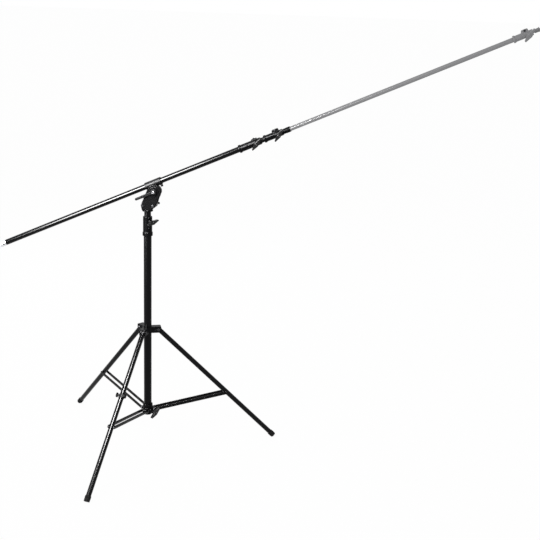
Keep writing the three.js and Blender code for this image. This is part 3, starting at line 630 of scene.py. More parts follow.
@dataclass(frozen=True)
class Finish:
    """A surface: its colour, gloss and relief. Lengths are in millimetres and counts are per metre."""

    slot: str
    colour: Triple
    metallic: float = 0.0
    roughness: float = 0.5
    gloss: float = 0.5
    grain: Grain = Grain.EVEN
    grain_size: float = 0.8
    drawn_out: float = 60.0
    relief: float = 0.04
    bump: float = 0.6
    uneven: float = 0.12
    mottle: float = 0.15
    mottle_count: float = 18.0
    wear: float = 0.0
    wear_colour: Triple = (0.3, 0.3, 0.31)
    wear_counts: Triple = (90.0, 90.0, 30.0)
    wear_limits: Point = (0.66, 0.8)
    # Painted shade: the wall of a hole across the piece along its own Y, at this station and within this radius,
    # is coloured near black
    hole_station: float = 0.0
    hole_radius: float = 0.0
    hole_shade_colour: Triple = (0.004, 0.004, 0.004)

    def material(self, place: Matrix, label: str) -> bpy.types.Material:
        """Builds the node material in a piece's own frame.

        Args:
            place: The piece's frame in the row frame, in millimetres.
            label: The name of the material.

        Returns:
            The material.
        """
        made = bpy.data.materials.new(label)
        made.use_nodes = True
        board = Wiring(made.node_tree)
        own = self._own(board, place)
        spot = self._rings(board, own) if self.grain is Grain.TURNED else own
        count = 1 / (self.grain_size * MM)
        along = count / self.drawn_out if self.grain is Grain.DRAWN else count
        fine = self._noise(board, spot, (count, count, along), 3.0)
        broad = self._noise(board, spot, (self.mottle_count,) * 3, 2.0)
        dark = tuple(c * (1 - self.mottle) for c in self.colour)
        light = tuple(min(1.0, c * (1 + self.mottle)) for c in self.colour)
        colour = board.mixed(broad, (*dark, 1), (*light, 1))
        if self.wear > 0:
            marks = board.add("ShaderNodeMapRange", {
                "Value": self._noise(board, spot, self.wear_counts, 6.0),
                "From Min": self.wear_limits[0], "From Max": self.wear_limits[1], "To Max": self.wear,
            })
            colour = board.mixed(marks["Result"], colour, (*self.wear_colour, 1))
        # Painted shade: the cross hole's wall is coloured near black so that the hole reads dark
        if self.hole_radius > 0:
            colour = board.mixed(self._hole_shade_mask(board, own), colour, (*self.hole_shade_colour, 1))
        blend = board.add("ShaderNodeMath", {0: fine, 1: broad}, operation="MULTIPLY")
        rough = board.add("ShaderNodeMapRange", {
            "Value": blend["Value"], "From Max": 0.5,
            "To Min": max(0.03, self.roughness * (1 - self.uneven)),
            "To Max": min(1.0, self.roughness * (1 + self.uneven)),
        })
        bump = board.add("ShaderNodeBump", {
            "Strength": self.bump, "Distance": self.relief * MM, "Height": fine,
        })
        board.feed(board.nodes["Principled BSDF"], {
            "Base Color": colour, "Metallic": self.metallic, "Specular IOR Level": self.gloss,
            "Roughness": rough["Result"], "Normal": bump["Normal"],
        })
        return made

    def _own(self, board: Wiring, place: Matrix) -> Socket:
        """Reads Object coordinates in the piece's own frame.

        Args:
            board: The material's nodes.
            place: The piece's frame in the row frame, in millimetres.

        Returns:
            The coordinates.
        """
        back = place.copy()
        back.translation *= MM
        back.invert()
        return board.add("ShaderNodeMapping", {
            "Vector": board.add("ShaderNodeTexCoord", {})["Object"],
            "Location": back.translation, "Rotation": back.to_euler("XYZ"),
        })["Vector"]

    def _rings(self, board: Wiring, own: Socket) -> Socket:
        """Gives the distance from the piece's axis and the height along it.

        Args:
            board: The material's nodes.
            own: The piece's own coordinates.

        Returns:
            The distance as X and the height as Z.
        """
        parts = board.add("ShaderNodeSeparateXYZ", {"Vector": own})
        flat = board.add("ShaderNodeCombineXYZ", {"X": parts["X"], "Y": parts["Y"]})
        length = board.add("ShaderNodeVectorMath", {0: flat["Vector"]}, operation="LENGTH")
        return board.add("ShaderNodeCombineXYZ", {"X": length["Value"], "Z": parts["Z"]})["Vector"]

    def _noise(self, board: Wiring, spot: Socket, counts: Triple, detail: float) -> Socket:
        """Adds a noise.

        Args:
            board: The material's nodes.
            spot: The coordinates.
            counts: How often it repeats along each direction, per metre.
            detail: How many finer layers it has.

        Returns:
            Its height.
        """
        stretch = board.add("ShaderNodeMapping", {"Vector": spot, "Scale": counts})
        noise = {"Vector": stretch["Vector"], "Scale": 1.0, "Detail": detail}
        return board.add("ShaderNodeTexNoise", noise)["Fac"]

    def _hole_shade_mask(self, board: Wiring, own: Socket) -> Socket:
        """Finds the wall of the hole that runs across the piece along its own Y, which gets painted shade.

        Args:
            board: The material's nodes.
            own: The piece's own coordinates.

        Returns:
            One on the hole's wall and zero elsewhere.
        """
        centred = board.add("ShaderNodeVectorMath", {
            0: own, 1: (1, 0, 1), 2: (0, 0, -self.hole_station * MM),
        }, operation="MULTIPLY_ADD")
        far = board.add("ShaderNodeVectorMath", {0: centred["Vector"]}, operation="LENGTH")
        limits = {0: far["Value"], 1: self.hole_radius * MM}
        return board.add("ShaderNodeMath", limits, operation="LESS_THAN")["Value"]


GLOSS_BLACK = Finish(
    slot="black_tube", colour=(0.0025, 0.0025, 0.003), roughness=0.18, gloss=0.1,
    grain=Grain.DRAWN, grain_size=0.5, relief=0.001, wear=0.03,
)
SATIN_BLACK = replace(GLOSS_BLACK, roughness=0.22, gloss=0.08)
GREY_TUBE = Finish(
    slot="grey_tube", colour=(0.29, 0.29, 0.297), roughness=0.34, gloss=0.08,
    grain=Grain.DRAWN, grain_size=0.5, relief=0.003, mottle=0.06,
)
GREY_CASTING = Finish(
    slot="grey_tube", colour=(0.27, 0.27, 0.277), roughness=0.5, gloss=0.09, grain_size=0.7, relief=0.05,
)
GREY_TURNED = Finish(
    slot="grey_tube", colour=(0.23, 0.23, 0.236), roughness=0.36, gloss=0.12, grain=Grain.TURNED,
    grain_size=0.3, relief=0.02,
)
POWDER = Finish(
    slot="casting", colour=(0.004, 0.004, 0.0046), roughness=0.3, gloss=0.04, grain_size=0.7, relief=0.03,
    mottle=0.2, wear=0.08, wear_colour=(0.08, 0.08, 0.08),
)
HOLDER_COAT = replace(POWDER, roughness=0.42, gloss=0.08, relief=0.05)
BLACK_PLASTIC = Finish(
    slot="black_plastic", colour=(0.005, 0.005, 0.0056), roughness=0.36, gloss=0.2, grain_size=0.4, relief=0.03,
)
LEVER_COAT = replace(BLACK_PLASTIC, roughness=0.4, gloss=0.05)
BUSH_PLASTIC = replace(BLACK_PLASTIC, roughness=0.45, gloss=0.02)
GREY_PLASTIC = replace(
    BLACK_PLASTIC, slot="grey_plastic", colour=(0.26, 0.26, 0.267), roughness=0.45, gloss=0.09,
)
DARK_STEEL = Finish(
    slot="dark_steel", colour=(0.03, 0.03, 0.032), metallic=0.8, roughness=0.3, gloss=0.3, grain=Grain.TURNED,
    grain_size=0.25, relief=0.02,
)
BRIGHT_STEEL = Finish(
    slot="bright_steel", colour=(0.17, 0.17, 0.175), metallic=1.0, roughness=0.3, grain=Grain.TURNED,
    grain_size=0.25, relief=0.012, mottle=0.05,
)
BARE_ALUMINIUM = Finish(
    slot="bare_aluminium", colour=(0.64, 0.65, 0.67), metallic=1.0, roughness=0.3, grain=Grain.TURNED,
    grain_size=0.3, relief=0.02, mottle=0.05,
)
RUBBER = Finish(
    slot="foot_rubber", colour=(0.009, 0.009, 0.009), roughness=0.8, gloss=0.04, grain_size=0.5, relief=0.12,
)


# Finished pieces on the frame


def span(node: str, place: Matrix) -> Triple:
    """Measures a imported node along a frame's Z.

    Args:
        node: The node's name.
        place: The frame, in millimetres.

    Returns:
        The lowest and highest place along Z, and the greatest distance from it.
    """
    back = place.inverted()
    spots = [back @ (v.co / MM) for v in frame["nodes"][node].data.vertices]
    heights = [spot.z for spot in spots]
    return min(heights), max(heights), max(math.hypot(spot.x, spot.y) for spot in spots)


def joint_place(name: str) -> Vector:
    """Gives a joint's place in millimetres."""
    return next(Vector(j["pos_m"]) / MM for j in frame["joints"] if j["name"] == name)


@dataclass
class Bench:
    """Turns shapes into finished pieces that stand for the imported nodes."""

    ribs: RepeatTree = field(default_factory=lambda: RepeatTree(Pattern.RIBS))
    thread: RepeatTree = field(default_factory=lambda: RepeatTree(Pattern.THREAD))
    made: int = 0
    faces: int = 0

    def lay(self, node: str, shape: Shape, finish: Finish, place: Matrix) -> None:
        """Finishes a shape and puts it in a node's place.

        Args:
            node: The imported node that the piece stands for.
            shape: The form in the piece's own frame.
            finish: Its surface.
            place: The piece's frame in the row frame, in millimetres.
        """
        mesh = bpy.data.meshes.new(f"{node}_fine")
        shape.body.to_mesh(mesh)
        shape.body.free()
        mesh.transform(Matrix.Scale(MM, 4) @ place)
        mesh.materials.clear()
        mesh.materials.append(finish.material(place, f"{node}_{finish.slot}"))
        for polygon in mesh.polygons:
            polygon.material_index = 0
        mesh.shade_smooth()
        mesh.set_sharp_from_angle(angle=math.radians(CAST_EDGE_ANGLE if shape.is_cast else EDGE_ANGLE))
        mesh.update()
        piece = stand(f"{node}_fine", mesh)
        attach(piece, frame["nodes"][node]["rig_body"])
        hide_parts(node)
        self.made += 1
        self.faces += len(mesh.polygons)
        log.info("%s: %d faces, %s", piece.name, len(mesh.polygons), finish.slot)

    def lay_tube(
        self, node: str, radius: float, wall: float, finish: Finish, place: Matrix, cover: float = 0.0,
    ) -> None:
        """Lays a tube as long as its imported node.

        Args:
            node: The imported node.
            radius: The tube's outer radius.
            wall: Its wall.
            finish: Its surface.
            place: Its frame in the row frame, in millimetres.
            cover: How much further it reaches at its low end.
        """
        low, high, _ = span(node, place)
        self.lay(node, Shape.pipe(radius, radius - wall, low - cover, high), finish, place)

    def grip(self, radius: float, length: float, count: int, bar: float) -> Shape:
        """Makes a ring of fine upright bars, centred on the origin."""
        sizes = {"count": count, "circle_radius": radius, "bar_radius": bar, "bar_length": length}
        return self.ribs.shape(self._plain(), **sizes)

    def screw_thread(self, radius: float, length: float, pitch: float) -> Shape:
        """Makes a stack of fine rings from the origin upwards."""
        sizes = {"circle_radius": radius, "bar_radius": pitch * 0.36, "pitch": pitch}
        return self.thread.shape(self._plain(), count=max(2, int(length / pitch)), **sizes)

    def _plain(self) -> bpy.types.Material:
        """Gives the material that a repeat has until its piece is finished."""
        return bpy.data.materials.get("in_work") or bpy.data.materials.new("in_work")


@dataclass
class WingScrew:
    """A locking screw with two wings. It seats at height 0."""

    span: float = 60.0
    hub: float = 9.5
    tip: float = 3.2
    thickness: float = 12.0
    height: float = 14.5
    cap: float = 5.0
    cap_height: float = 1.6
    shaft: float = 4.0
    dish: float = 2.6
    dish_depth: float = 0.7

    def shape(self, depth: float, angle: float) -> Shape:
        """Makes the screw.

        Args:
            depth: How long its shaft is.
            angle: The wings' direction, in degrees.

        Returns:
            The moulded screw.
        """
        reach = self.span / 2 - self.tip
        middle = self.height - self.thickness / 2
        top = self.height + self.cap_height
        outline = belt([(reach, 0, self.tip), (0, 0, self.hub), (-reach, 0, self.tip), (0, 0, self.hub)])
        wing = Shape.slab(outline, self.thickness, 0.9).moved(turn(angle, "Z"), shift(0, 0, middle))
        stem = Shape.spun([
            (self.shaft, -depth), (self.shaft, PLAY), (self.hub - 1.2, PLAY), (self.hub - 0.6, 2.0),
            (self.cap + 1.6, middle), (self.cap, self.height), (self.cap, top),
        ], 0.6, 3, FINE_SIDES)
        low = top - self.dish_depth
        dish = Shape.turned([(0, low), (self.dish, low), (self.dish + 0.6, top + 1), (0, top + 1)], 24)
        return wing.joined(stem).cut(dish).cast(0.5, 1)


@dataclass
class SplitClamp:
    """A cast clamp that grips one tube and locks the next with a winged screw. Z runs to its mouth."""

    outer_tube: float
    inner_tube: float
    length: float
    grip: float
    ring: float
    screw_angle: float
    screw_station: float
    wing_angle: float
    lobe_angle: float
    has_bush: bool = True
    wall: float = 2.6
    chamfer: float = 1.2
    ring_proud: float = 2.2
    boss: float = 9.0
    boss_foot: float = 1.2
    boss_proud: float = 8.0
    lobe_width: float = 15.0
    lobe_round: float = 5.0
    lobe_proud: float = 10.0
    lobe_length: float = 33.0
    lobe_setback: float = 15.0
    slit: float = 2.0
    bush_wall: float = 1.3
    bolt: float = 2.5
    bolt_head: float = 4.4
    bolt_head_height: float = 3.6
    washer: float = 0.8
    face_boss: float = 7.2
    face_sink: float = 5.6
    face_head: float = 4.6
    face_proud: float = 1.8

    @property
    def bore(self) -> float:
        """The bore over the outer tube."""
        return self.outer_tube + PLAY

    @property
    def body(self) -> float:
        """The sleeve's outer radius."""
        return self.bore + self.wall

    @property
    def mouth(self) -> float:
        """The bore at the mouth."""
        return self.inner_tube + PLAY + (self.bush_wall + PLAY if self.has_bush else 0)

    @property
    def boss_reach(self) -> float:
        """How far out the screw's seat is."""
        return self.body + self.boss_proud

    @property
    def lobe_centre(self) -> float:
        """How far out the lobe's bolt is."""
        return self.body + self.lobe_proud - self.lobe_round

    @property
    def lobe_low(self) -> float:
        """The lobe's lower corner centre."""
        return self.length - self.lobe_setback - self.lobe_length + self.lobe_round

    @property
    def lobe_high(self) -> float:
        """The lobe's upper corner centre."""
        return self.length - self.lobe_setback - self.lobe_round

    @property
    def bolt_height(self) -> float:
        """Where the lobe's bolt crosses."""
        return (self.lobe_low + self.lobe_round + self.lobe_high) / 2

    def seat(self, distance: float) -> Matrix:
        """Gives the winged screw's frame at a distance from the axis."""
        return outward(self.screw_angle, self.length - self.screw_station, distance)

    def casting(self, face_bolts: Sequence[Point] = ()) -> Shape:
        """Makes the cast body with its ring, boss, lobe, slit and bores.

        Args:
            face_bolts: The direction and height of each bolt that is let into its face.

        Returns:
            The body.
        """
        ring_outer = self.body + self.ring_proud
        foot, root = self.boss + self.boss_foot, self.lobe_round
        low, high, past = self.lobe_low, self.lobe_high, self.length + OVERCUT
        sleeve = Shape.spun([
            (ring_outer, 0), (ring_outer, self.ring), (self.body, self.ring + self.chamfer),
            (self.body, self.length),
        ], 1.4, 5)
        boss = Shape.spun([
            (foot, 0), (foot, self.body), (self.boss, self.body + 2), (self.boss, self.boss_reach),
        ], 1.0, 4, FINE_SIDES).moved(self.seat(0))
        out = self.lobe_centre
        outline = belt([(0, low, root), (out, low + root, root), (out, high, root), (0, high, root)])
        lobe = Shape.slab(outline, self.lobe_width, 1.2).moved(standing(self.lobe_angle))
        reach = self.body + self.lobe_proud + OVERCUT
        slit = Shape.slab([(0, self.grip), (reach, self.grip), (reach, past), (0, past)], self.slit)
        slit.moved(standing(self.lobe_angle))
        step = self.grip + PLAY
        bore = Shape.turned([
            (0, -OVERCUT), (self.bore, -OVERCUT), (self.bore, step), (self.mouth, step), (self.mouth, past),
            (0, past),
        ])
        hole = Shape.drill(PIN_HOLE, 0, self.boss_reach + OVERCUT).moved(self.seat(0))
        sunk = [self.face_bolt(angle, height) for angle, height in face_bolts]
        body = sleeve.joined(boss, lobe, *[part[0] for part in sunk])
        body = body.cut(bore, slit, hole, *[part[1] for part in sunk]).cast(0.75)
        return body.beside(*[part[2] for part in sunk])

    def face_bolt(self, angle: float, height: float) -> tuple[Shape, Shape, Shape]:
        """Makes a bolt let into the sleeve's face.

        Args:
            angle: Its direction, in degrees.
            height: Its height.

        Returns:
            Its boss, the hole that sinks it and the bolt.
        """
        seat = outward(angle, height, 0)
        top = self.body + self.face_proud
        boss = Shape.rod(self.face_boss, self.bore + 1, self.body + 1.2, 0.7, HOLE_SIDES).moved(seat)
        sink = Shape.drill(self.face_sink, self.body - 1.2, self.body + OVERCUT).moved(seat)
        head = Shape.rod(self.face_head, self.body - 1.0, top, 0.6, HOLE_SIDES)
        return boss, sink, head.cut(Shape.hexagon(2.4, 3.0).moved(shift(0, 0, top))).moved(seat)

    def lobe_bolt(self) -> Shape:
        """Makes the bolt through the lobe, with a socket in its head, a washer and a nut.

        Returns:
            The bolt.
        """
        half = self.lobe_width / 2 + PLAY
        top, nut, face = half + self.bolt_head_height, self.bolt_head - 0.5, half + self.washer
        bolt = Shape.spun([
            (self.bolt_head, -top), (self.bolt_head, -half), (self.bolt, -half), (self.bolt, half),
            (self.bolt_head, half), (self.bolt_head, face), (nut, face), (nut, top),
        ], 0.4, 3, FINE_SIDES)
        return bolt.cut(Shape.hexagon(2.0, 4.0).moved(shift(0, 0, -top))).moved(
            turn(self.lobe_angle, "Z"), shift(self.lobe_centre, 0, self.bolt_height), turn(-90, "X"),
        )

    def bush(self, neck: float, head: float) -> Shape:
        """Makes the bush in the mouth.

        Args:
            neck: How far its neck stands out of the mouth.
            head: How long its rim is past the neck.

        Returns:
            The bush.
        """
        inner, outer, rim = self.inner_tube + PLAY, self.mouth - PLAY, self.mouth + PLAY
        low, start = self.grip + 2 * PLAY, self.length + PLAY + neck
        return Shape.turned(softened([
            (inner, low), (outer, low), (outer, start), (rim, start), (rim, start + head - 0.7),
            (outer, start + head), (inner, start + head),
        ], 0.5, 3, closed=True))

    def lay_screw(self, bench: Bench, node: str, finish: Finish, place: Matrix) -> None:
        """Lays the winged screw on its boss.

        Args:
            bench: Where it is finished.
            node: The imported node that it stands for.
            finish: Its surface.
            place: The clamp's frame in the row frame, in millimetres.
        """
        screw = WingScrew().shape(self.boss_reach - self.mouth, self.wing_angle)
        bench.lay(node, screw, finish, place @ self.seat(self.boss_reach))


# Assemblies


@dataclass
class Column:
    """The column with its base cap, clamp, spider and the riser inside it."""

    bench: Bench
    wall: float = 1.5
    riser: float = 15.0
    cap: float = 18.7
    cap_height: float = 4.0
    cap_dish: float = 9.0
    plug: float = 15.7
    plug_height: float = 22.3
    guide_neck: float = 13.2
    guide_foot: float = 3.0
    face_bolts: tuple[Point, Point] = ((-44.0, 80.0), (-44.0, 36.0))
    hub: float = 23.0
    roof: float = 3.2
    spider_drop: float = 15.0
    spider_reach: float = 61.0
    spider_corner: float = 6.6
    arm_slot: float = 11.6
    arm_wall: float = 2.8
    pocket: float = 1.6
    pocket_ends: Point = (29.0, 38.0)
    pocket_rise: float = 6.0
    pocket_round: float = 3.0
    pin: float = 4.0
    pin_head: float = 6.5
    pin_nut: float = 5.4
    pin_head_height: float = 3.0

    def build(self) -> None:
        """Builds the pieces from the floor up."""
        self.bench.lay_tube("column_tube", COLUMN_RADIUS, self.wall, SATIN_BLACK, UPRIGHT)
        self.bench.lay_tube("riser_tube", self.riser, self.wall, SATIN_BLACK, UPRIGHT)
        cap = Shape.spun([
            (self.cap_dish, 1.0), (self.cap_dish + 1, 0), (self.cap, 0), (self.cap, self.cap_height),
            (self.plug, self.cap_height), (self.plug, self.plug_height),
        ], 0.9)
        self.bench.lay("column_base_cap", cap, BLACK_PLASTIC, UPRIGHT)
        low, high, reach = span("riser_guide_bush", UPRIGHT)
        step = low + self.guide_foot
        bush = Shape.spun([(reach, low), (reach, step), (self.guide_neck, step), (self.guide_neck, high)], 0.6)
        self.bench.lay("riser_guide_bush", bush, BLACK_PLASTIC, UPRIGHT)
        self._clamp()
        self._spider()

    def _clamp(self) -> None:
        """Builds the clamp where the riser leaves the column."""
        place = shift(0, 0, span("column_clamp", UPRIGHT)[0])
        clamp = SplitClamp(
            outer_tube=COLUMN_RADIUS, inner_tube=self.riser, length=87.0, grip=45.0, ring=16.0,
            screw_angle=-34.0, screw_station=22.0, wing_angle=106.0, lobe_angle=105.0, has_bush=False,
        )
        self.bench.lay("column_clamp", clamp.casting(self.face_bolts).beside(clamp.lobe_bolt()), POWDER, place)
        clamp.lay_screw(self.bench, "column_clamp_screw", BLACK_PLASTIC, place)

    def _spider(self) -> None:
        """Builds the spider that carries the legs, and its pins."""
        place = shift(0, 0, joint_place("leg_right_fold").z)
        floor, top = self.arm_slot, self.roof + self.arm_slot
        reach, drop, wall = self.spider_reach, self.spider_drop, self.arm_slot + self.arm_wall
        body = Shape.spun([(self.hub, -drop), (self.hub, top)], 1.5)
        side = softened([(0, -drop), (reach, -drop), (reach, top), (0, top)], self.spider_corner, 8)
        back, past = LEG_PIVOT - self.arm_slot, reach + OVERCUT
        opening = [(back, -drop - OVERCUT), (past, -drop - OVERCUT), (past, floor), (back, floor)]
        (near, far), rise, corner = self.pocket_ends, self.pocket_rise, self.pocket_round
        window = belt([(near, 0, corner), (far, 0, corner), (far, rise, corner), (near, rise, corner)])
        arms, cuts = [], [Shape.drill(COLUMN_RADIUS + PLAY, -drop - OVERCUT, top + OVERCUT, TURN_SIDES)]
        for azimuth in LEGS.values():
            arms.append(Shape.slab(side, 2 * wall, 1.2).moved(standing(azimuth)))
            cuts.append(Shape.slab(opening, 2 * self.arm_slot).moved(standing(azimuth)))
            cuts.append(Shape.drill(PIN_HOLE, -24, 24).moved(turn(azimuth, "Z"), across(LEG_PIVOT, 0)))
            for hand in (-1, 1):
                pocket = Shape.slab(window, 2 * self.pocket)
                cuts.append(pocket.moved(standing(azimuth), shift(0, 0, hand * wall)))
        self.bench.lay("spider", body.joined(*arms).cut(*cuts).cast(0.9), POWDER, place)
        for name, azimuth in LEGS.items():
            pin_place = place @ turn(azimuth, "Z") @ across(LEG_PIVOT, 0)
            self.bench.lay(f"spider_pin_{name}", self._pin(), DARK_STEEL, pin_place)

    def _pin(self) -> Shape:
        """Makes a pivot pin with a socket head and a domed nut.

        Returns:
            The pin.
        """
        half = self.arm_slot + self.arm_wall + PLAY
        end = half + self.pin_head_height
        pin = Shape.spun([
            (self.pin_head, -end), (self.pin_head, -half), (self.pin, -half), (self.pin, half),
            (self.pin_head, half), (self.pin_head, half + 1), (self.pin_nut, half + 1),
            (self.pin_nut - 0.4, end),
        ], 0.5, 3, FINE_SIDES)
        return pin.cut(Shape.hexagon(2.8, 4).moved(shift(0, 0, -end)))


@dataclass
class Leg:
    """One leg: its cast eye, tube, cross stud and foot. -Z runs down it from its pivot."""

    bench: Bench
    side: str
    azimuth: float
    radius: float = 11.0
    wall: float = 1.5
    plug: float = 9.2
    plug_top: float = 15.0
    plug_end: float = 39.0
    stud: float = 4.5
    stud_half: float = 12.4
    foot_wall: float = 1.7
    foot_bore: float = 11.3
    foot_drop: float = 8.3
    rib: float = 0.55
    rib_count: int = 36
    clip_station: float = 313.0
    clip_half: float = 10.0
    clip_ring: float = 12.7
    web: Point = (6.5, 11.5)
    lug: float = 10.5
    lug_half: float = 2.5
    lug_spread: float = 19.0
    lug_reach: float = 9.0
    dimple: float = 4.5

    @property
    def place(self) -> Matrix:
        """The leg's frame in the row frame, in millimetres."""
        height = joint_place("leg_right_fold").z
        return turn(self.azimuth, "Z") @ shift(LEG_PIVOT, 0, height) @ turn(-LEG_ANGLE, "Y")

    def build(self) -> None:
        """Builds the leg's pieces."""
        self.bench.lay_tube(f"leg_tube_{self.side}", self.radius, self.wall, GLOSS_BLACK, self.place)
        self._eye()
        stud = Shape.rod(self.stud, -self.stud_half, self.stud_half, 0.4)
        self.bench.lay(f"brace_bracket_{self.side}", stud, DARK_STEEL, self.place @ across(0, -BRACE_ATTACH))
        self._foot()
        if self.side == "front":
            self._clip()

    def _eye(self) -> None:
        """Builds the casting at the leg's top."""
        eye = Shape.rod(self.radius, -self.radius, self.radius, 1.0, 56).moved(turn(-90, "X"))
        plug = Shape.spun([
            (self.plug, -self.plug_end), (self.plug, -self.plug_top), (self.radius, -self.plug_top),
            (self.radius, 0),
        ], 0.5)
        hole = Shape.drill(PIN_HOLE, -20, 20).moved(turn(-90, "X"))
        self.bench.lay(f"leg_eye_{self.side}", eye.joined(plug).cut(hole).cast(0.6, 2), POWDER, self.place)

    def _foot(self) -> None:
        """Builds the rubber foot, ribbed round its sleeve and flat on the floor."""
        node, place = f"foot_{self.side}", self.place
        low, high, _ = span(node, place)
        tube_low, _, _ = span(f"leg_tube_{self.side}", place)
        radius, bottom, inside = self.radius + self.foot_wall, tube_low - self.foot_drop, tube_low - PLAY
        cup = Shape.spun([
            (radius, bottom), (radius, high), (self.foot_bore, high), (self.foot_bore, inside),
        ], 0.8)
        length = high - low
        ribs = self.bench.grip(radius - 0.1, length * 0.4, self.rib_count, self.rib)
        ribs.moved(shift(0, 0, high - length * 0.32))
        floor_height = min(v.co.z for v in frame["nodes"][node].data.vertices) / MM
        wide, deep = 900, 60
        floor = Shape.slab([(-wide, -wide), (wide, -wide), (wide, wide), (-wide, wide)], deep)
        floor.moved(place.inverted(), shift(0, 0, floor_height - deep / 2))
        self.bench.lay(node, cup.cut(floor).beside(ribs), RUBBER, place)

    def _clip(self) -> None:
        """Builds the clip with its two round lugs."""
        station, (near, far), spread = -self.clip_station, self.web, self.lug_spread
        ring = Shape.spun([(self.clip_ring, -self.clip_half), (self.clip_ring, self.clip_half)], 1.0)
        web = Shape.slab([(near, -spread), (far, -spread), (far, spread), (near, spread)], self.clip_half, 1)
        lugs, dimples = [], []
        for hand in (-1, 1):
            lug = Shape.spun([(self.lug, -self.lug_half), (self.lug, self.lug_half)], 1.2, 4, FINE_SIDES)
            lugs.append(lug.moved(across(self.lug_reach, station), shift(0, 0, hand * spread)))
            dimple = Shape.rod(self.dimple, -1, 1, 0.3)
            dimples.append(dimple.moved(
                across(self.lug_reach, station), shift(0, 0, hand * (spread + self.lug_half)),
            ))
        bore = Shape.drill(self.radius + PLAY, station - 16, station + 16, TURN_SIDES)
        clip = ring.moved(shift(0, 0, station)).joined(web.moved(shift(0, 0, station)), *lugs)
        self.bench.lay("accessory_clip", clip.cut(bore, *dimples).cast(0.6, 2), LEVER_COAT, self.place)


@dataclass
class Collar:
    """The sliding collar, its winged screw and the three pairs of braces."""

    bench: Bench
    wall: float = 4.6
    rise: float = 26.0
    drop: float = 18.0
    rim: float = 4.0
    rim_proud: float = 1.6
    screw_angle: float = -33.0
    wing_angle: float = -52.0
    boss: float = 7.4
    boss_foot: float = 1.4
    boss_proud: float = 23.0
    boss_drop: float = 6.0
    pivot: float = 28.5
    ear: float = 7.0
    ear_play: float = 0.6
    inner_width: float = 26.0
    bar_height: float = 14.5
    bar_thickness: float = 3.0
    pin: float = 3.0
    pin_head: float = 5.0
    pin_dome: float = 3.6
    pin_head_height: float = 2.4

    def build(self) -> None:
        """Builds the collar, its screw and the braces."""
        place = shift(0, 0, joint_place("brace_right_fold").z)
        bore = COLUMN_RADIUS + PLAY
        radius = bore + self.wall
        reach, rim, foot = radius + self.boss_proud, radius + self.rim_proud, self.boss + self.boss_foot
        sleeve = Shape.spun([
            (rim, -self.drop), (rim, self.rim - self.drop), (radius, self.rim + self.rim_proud - self.drop),
            (radius, self.rise),
        ], 1.4, 5)
        half = self.inner_width / 2 - self.ear_play
        ears, cuts = [], [Shape.drill(bore, -self.drop - OVERCUT, self.rise + OVERCUT, TURN_SIDES)]
        for azimuth in LEGS.values():
            outline = belt([(0, 0, self.ear), (self.pivot, 0, self.ear)])
            ears.append(Shape.slab(outline, 2 * half, 1.0).moved(standing(azimuth)))
            hole = Shape.drill(SMALL_PIN_HOLE, -24, 24, 28)
            cuts.append(hole.moved(turn(azimuth, "Z"), across(self.pivot, 0)))
        seat = outward(self.screw_angle, -self.boss_drop, 0)
        boss = Shape.spun([
            (foot, 0), (foot, radius), (self.boss, radius + 3), (self.boss, reach),
        ], 0.8, 4, FINE_SIDES).moved(seat)
        cuts.append(Shape.drill(PIN_HOLE, 0, reach + OVERCUT, 28).moved(seat))
        self.bench.lay("lower_collar", sleeve.joined(boss, *ears).cut(*cuts).cast(0.8), POWDER, place)
        screw = WingScrew().shape(reach - bore, self.wing_angle)
        seat = place @ outward(self.screw_angle, -self.boss_drop, reach)
        self.bench.lay("collar_screw", screw, BLACK_PLASTIC, seat)
        for side, azimuth in LEGS.items():
            self._brace(side, azimuth)

    def _brace(self, side: str, azimuth: float) -> None:
        """Builds one pair of bars and their pin.

        Args:
            side: The leg's name.
            azimuth: The leg's direction round the column, in degrees.
        """
        tilt = math.radians(LEG_ANGLE)
        height = joint_place("brace_right_fold").z
        run = LEG_PIVOT + BRACE_ATTACH * math.sin(tilt) - self.pivot
        rise = joint_place("leg_right_fold").z - BRACE_ATTACH * math.cos(tilt) - height
        length, slope = math.hypot(run, rise), math.degrees(math.atan2(rise, run))
        place = turn(azimuth, "Z") @ shift(self.pivot, 0, height) @ turn(-slope, "Y")
        outline = belt([(0, 0, self.bar_height / 2), (length, 0, self.bar_height / 2)])
        inner = self.inner_width / 2
        face = inner + self.bar_thickness
        for name, hand in (("near", -1), ("far", 1)):
            bar = Shape.slab(outline, self.bar_thickness, 0.7)
            bar.moved(shift(0, hand * (inner + self.bar_thickness / 2), 0), turn(90, "X"))
            hole = Shape.drill(SMALL_PIN_HOLE, -30, 30, 28).moved(turn(-90, "X"))
            head = Shape.spun([
                (self.pin_head, 0), (self.pin_head, 1.4), (self.pin_dome, self.pin_head_height),
            ], 0.6, 4, HOLE_SIDES)
            head.moved(across(length, 0), shift(0, 0, hand * face), turn(0 if hand > 0 else 180, "X"))
            self.bench.lay(f"brace_bar_{side}_{name}", bar.cut(hole).beside(head), SATIN_BLACK, place)
        half = face + PLAY
        end = half + self.pin_head_height
        pin = Shape.spun([
            (self.pin_dome, -end), (self.pin_head, -half - 1), (self.pin_head, -half), (self.pin, -half),
            (self.pin, half), (self.pin_head, half), (self.pin_head, half + 1), (self.pin_dome, end),
        ], 0.5, 3, HOLE_SIDES)
        self.bench.lay(f"brace_pin_{side}", pin, DARK_STEEL, place @ turn(-90, "X"))


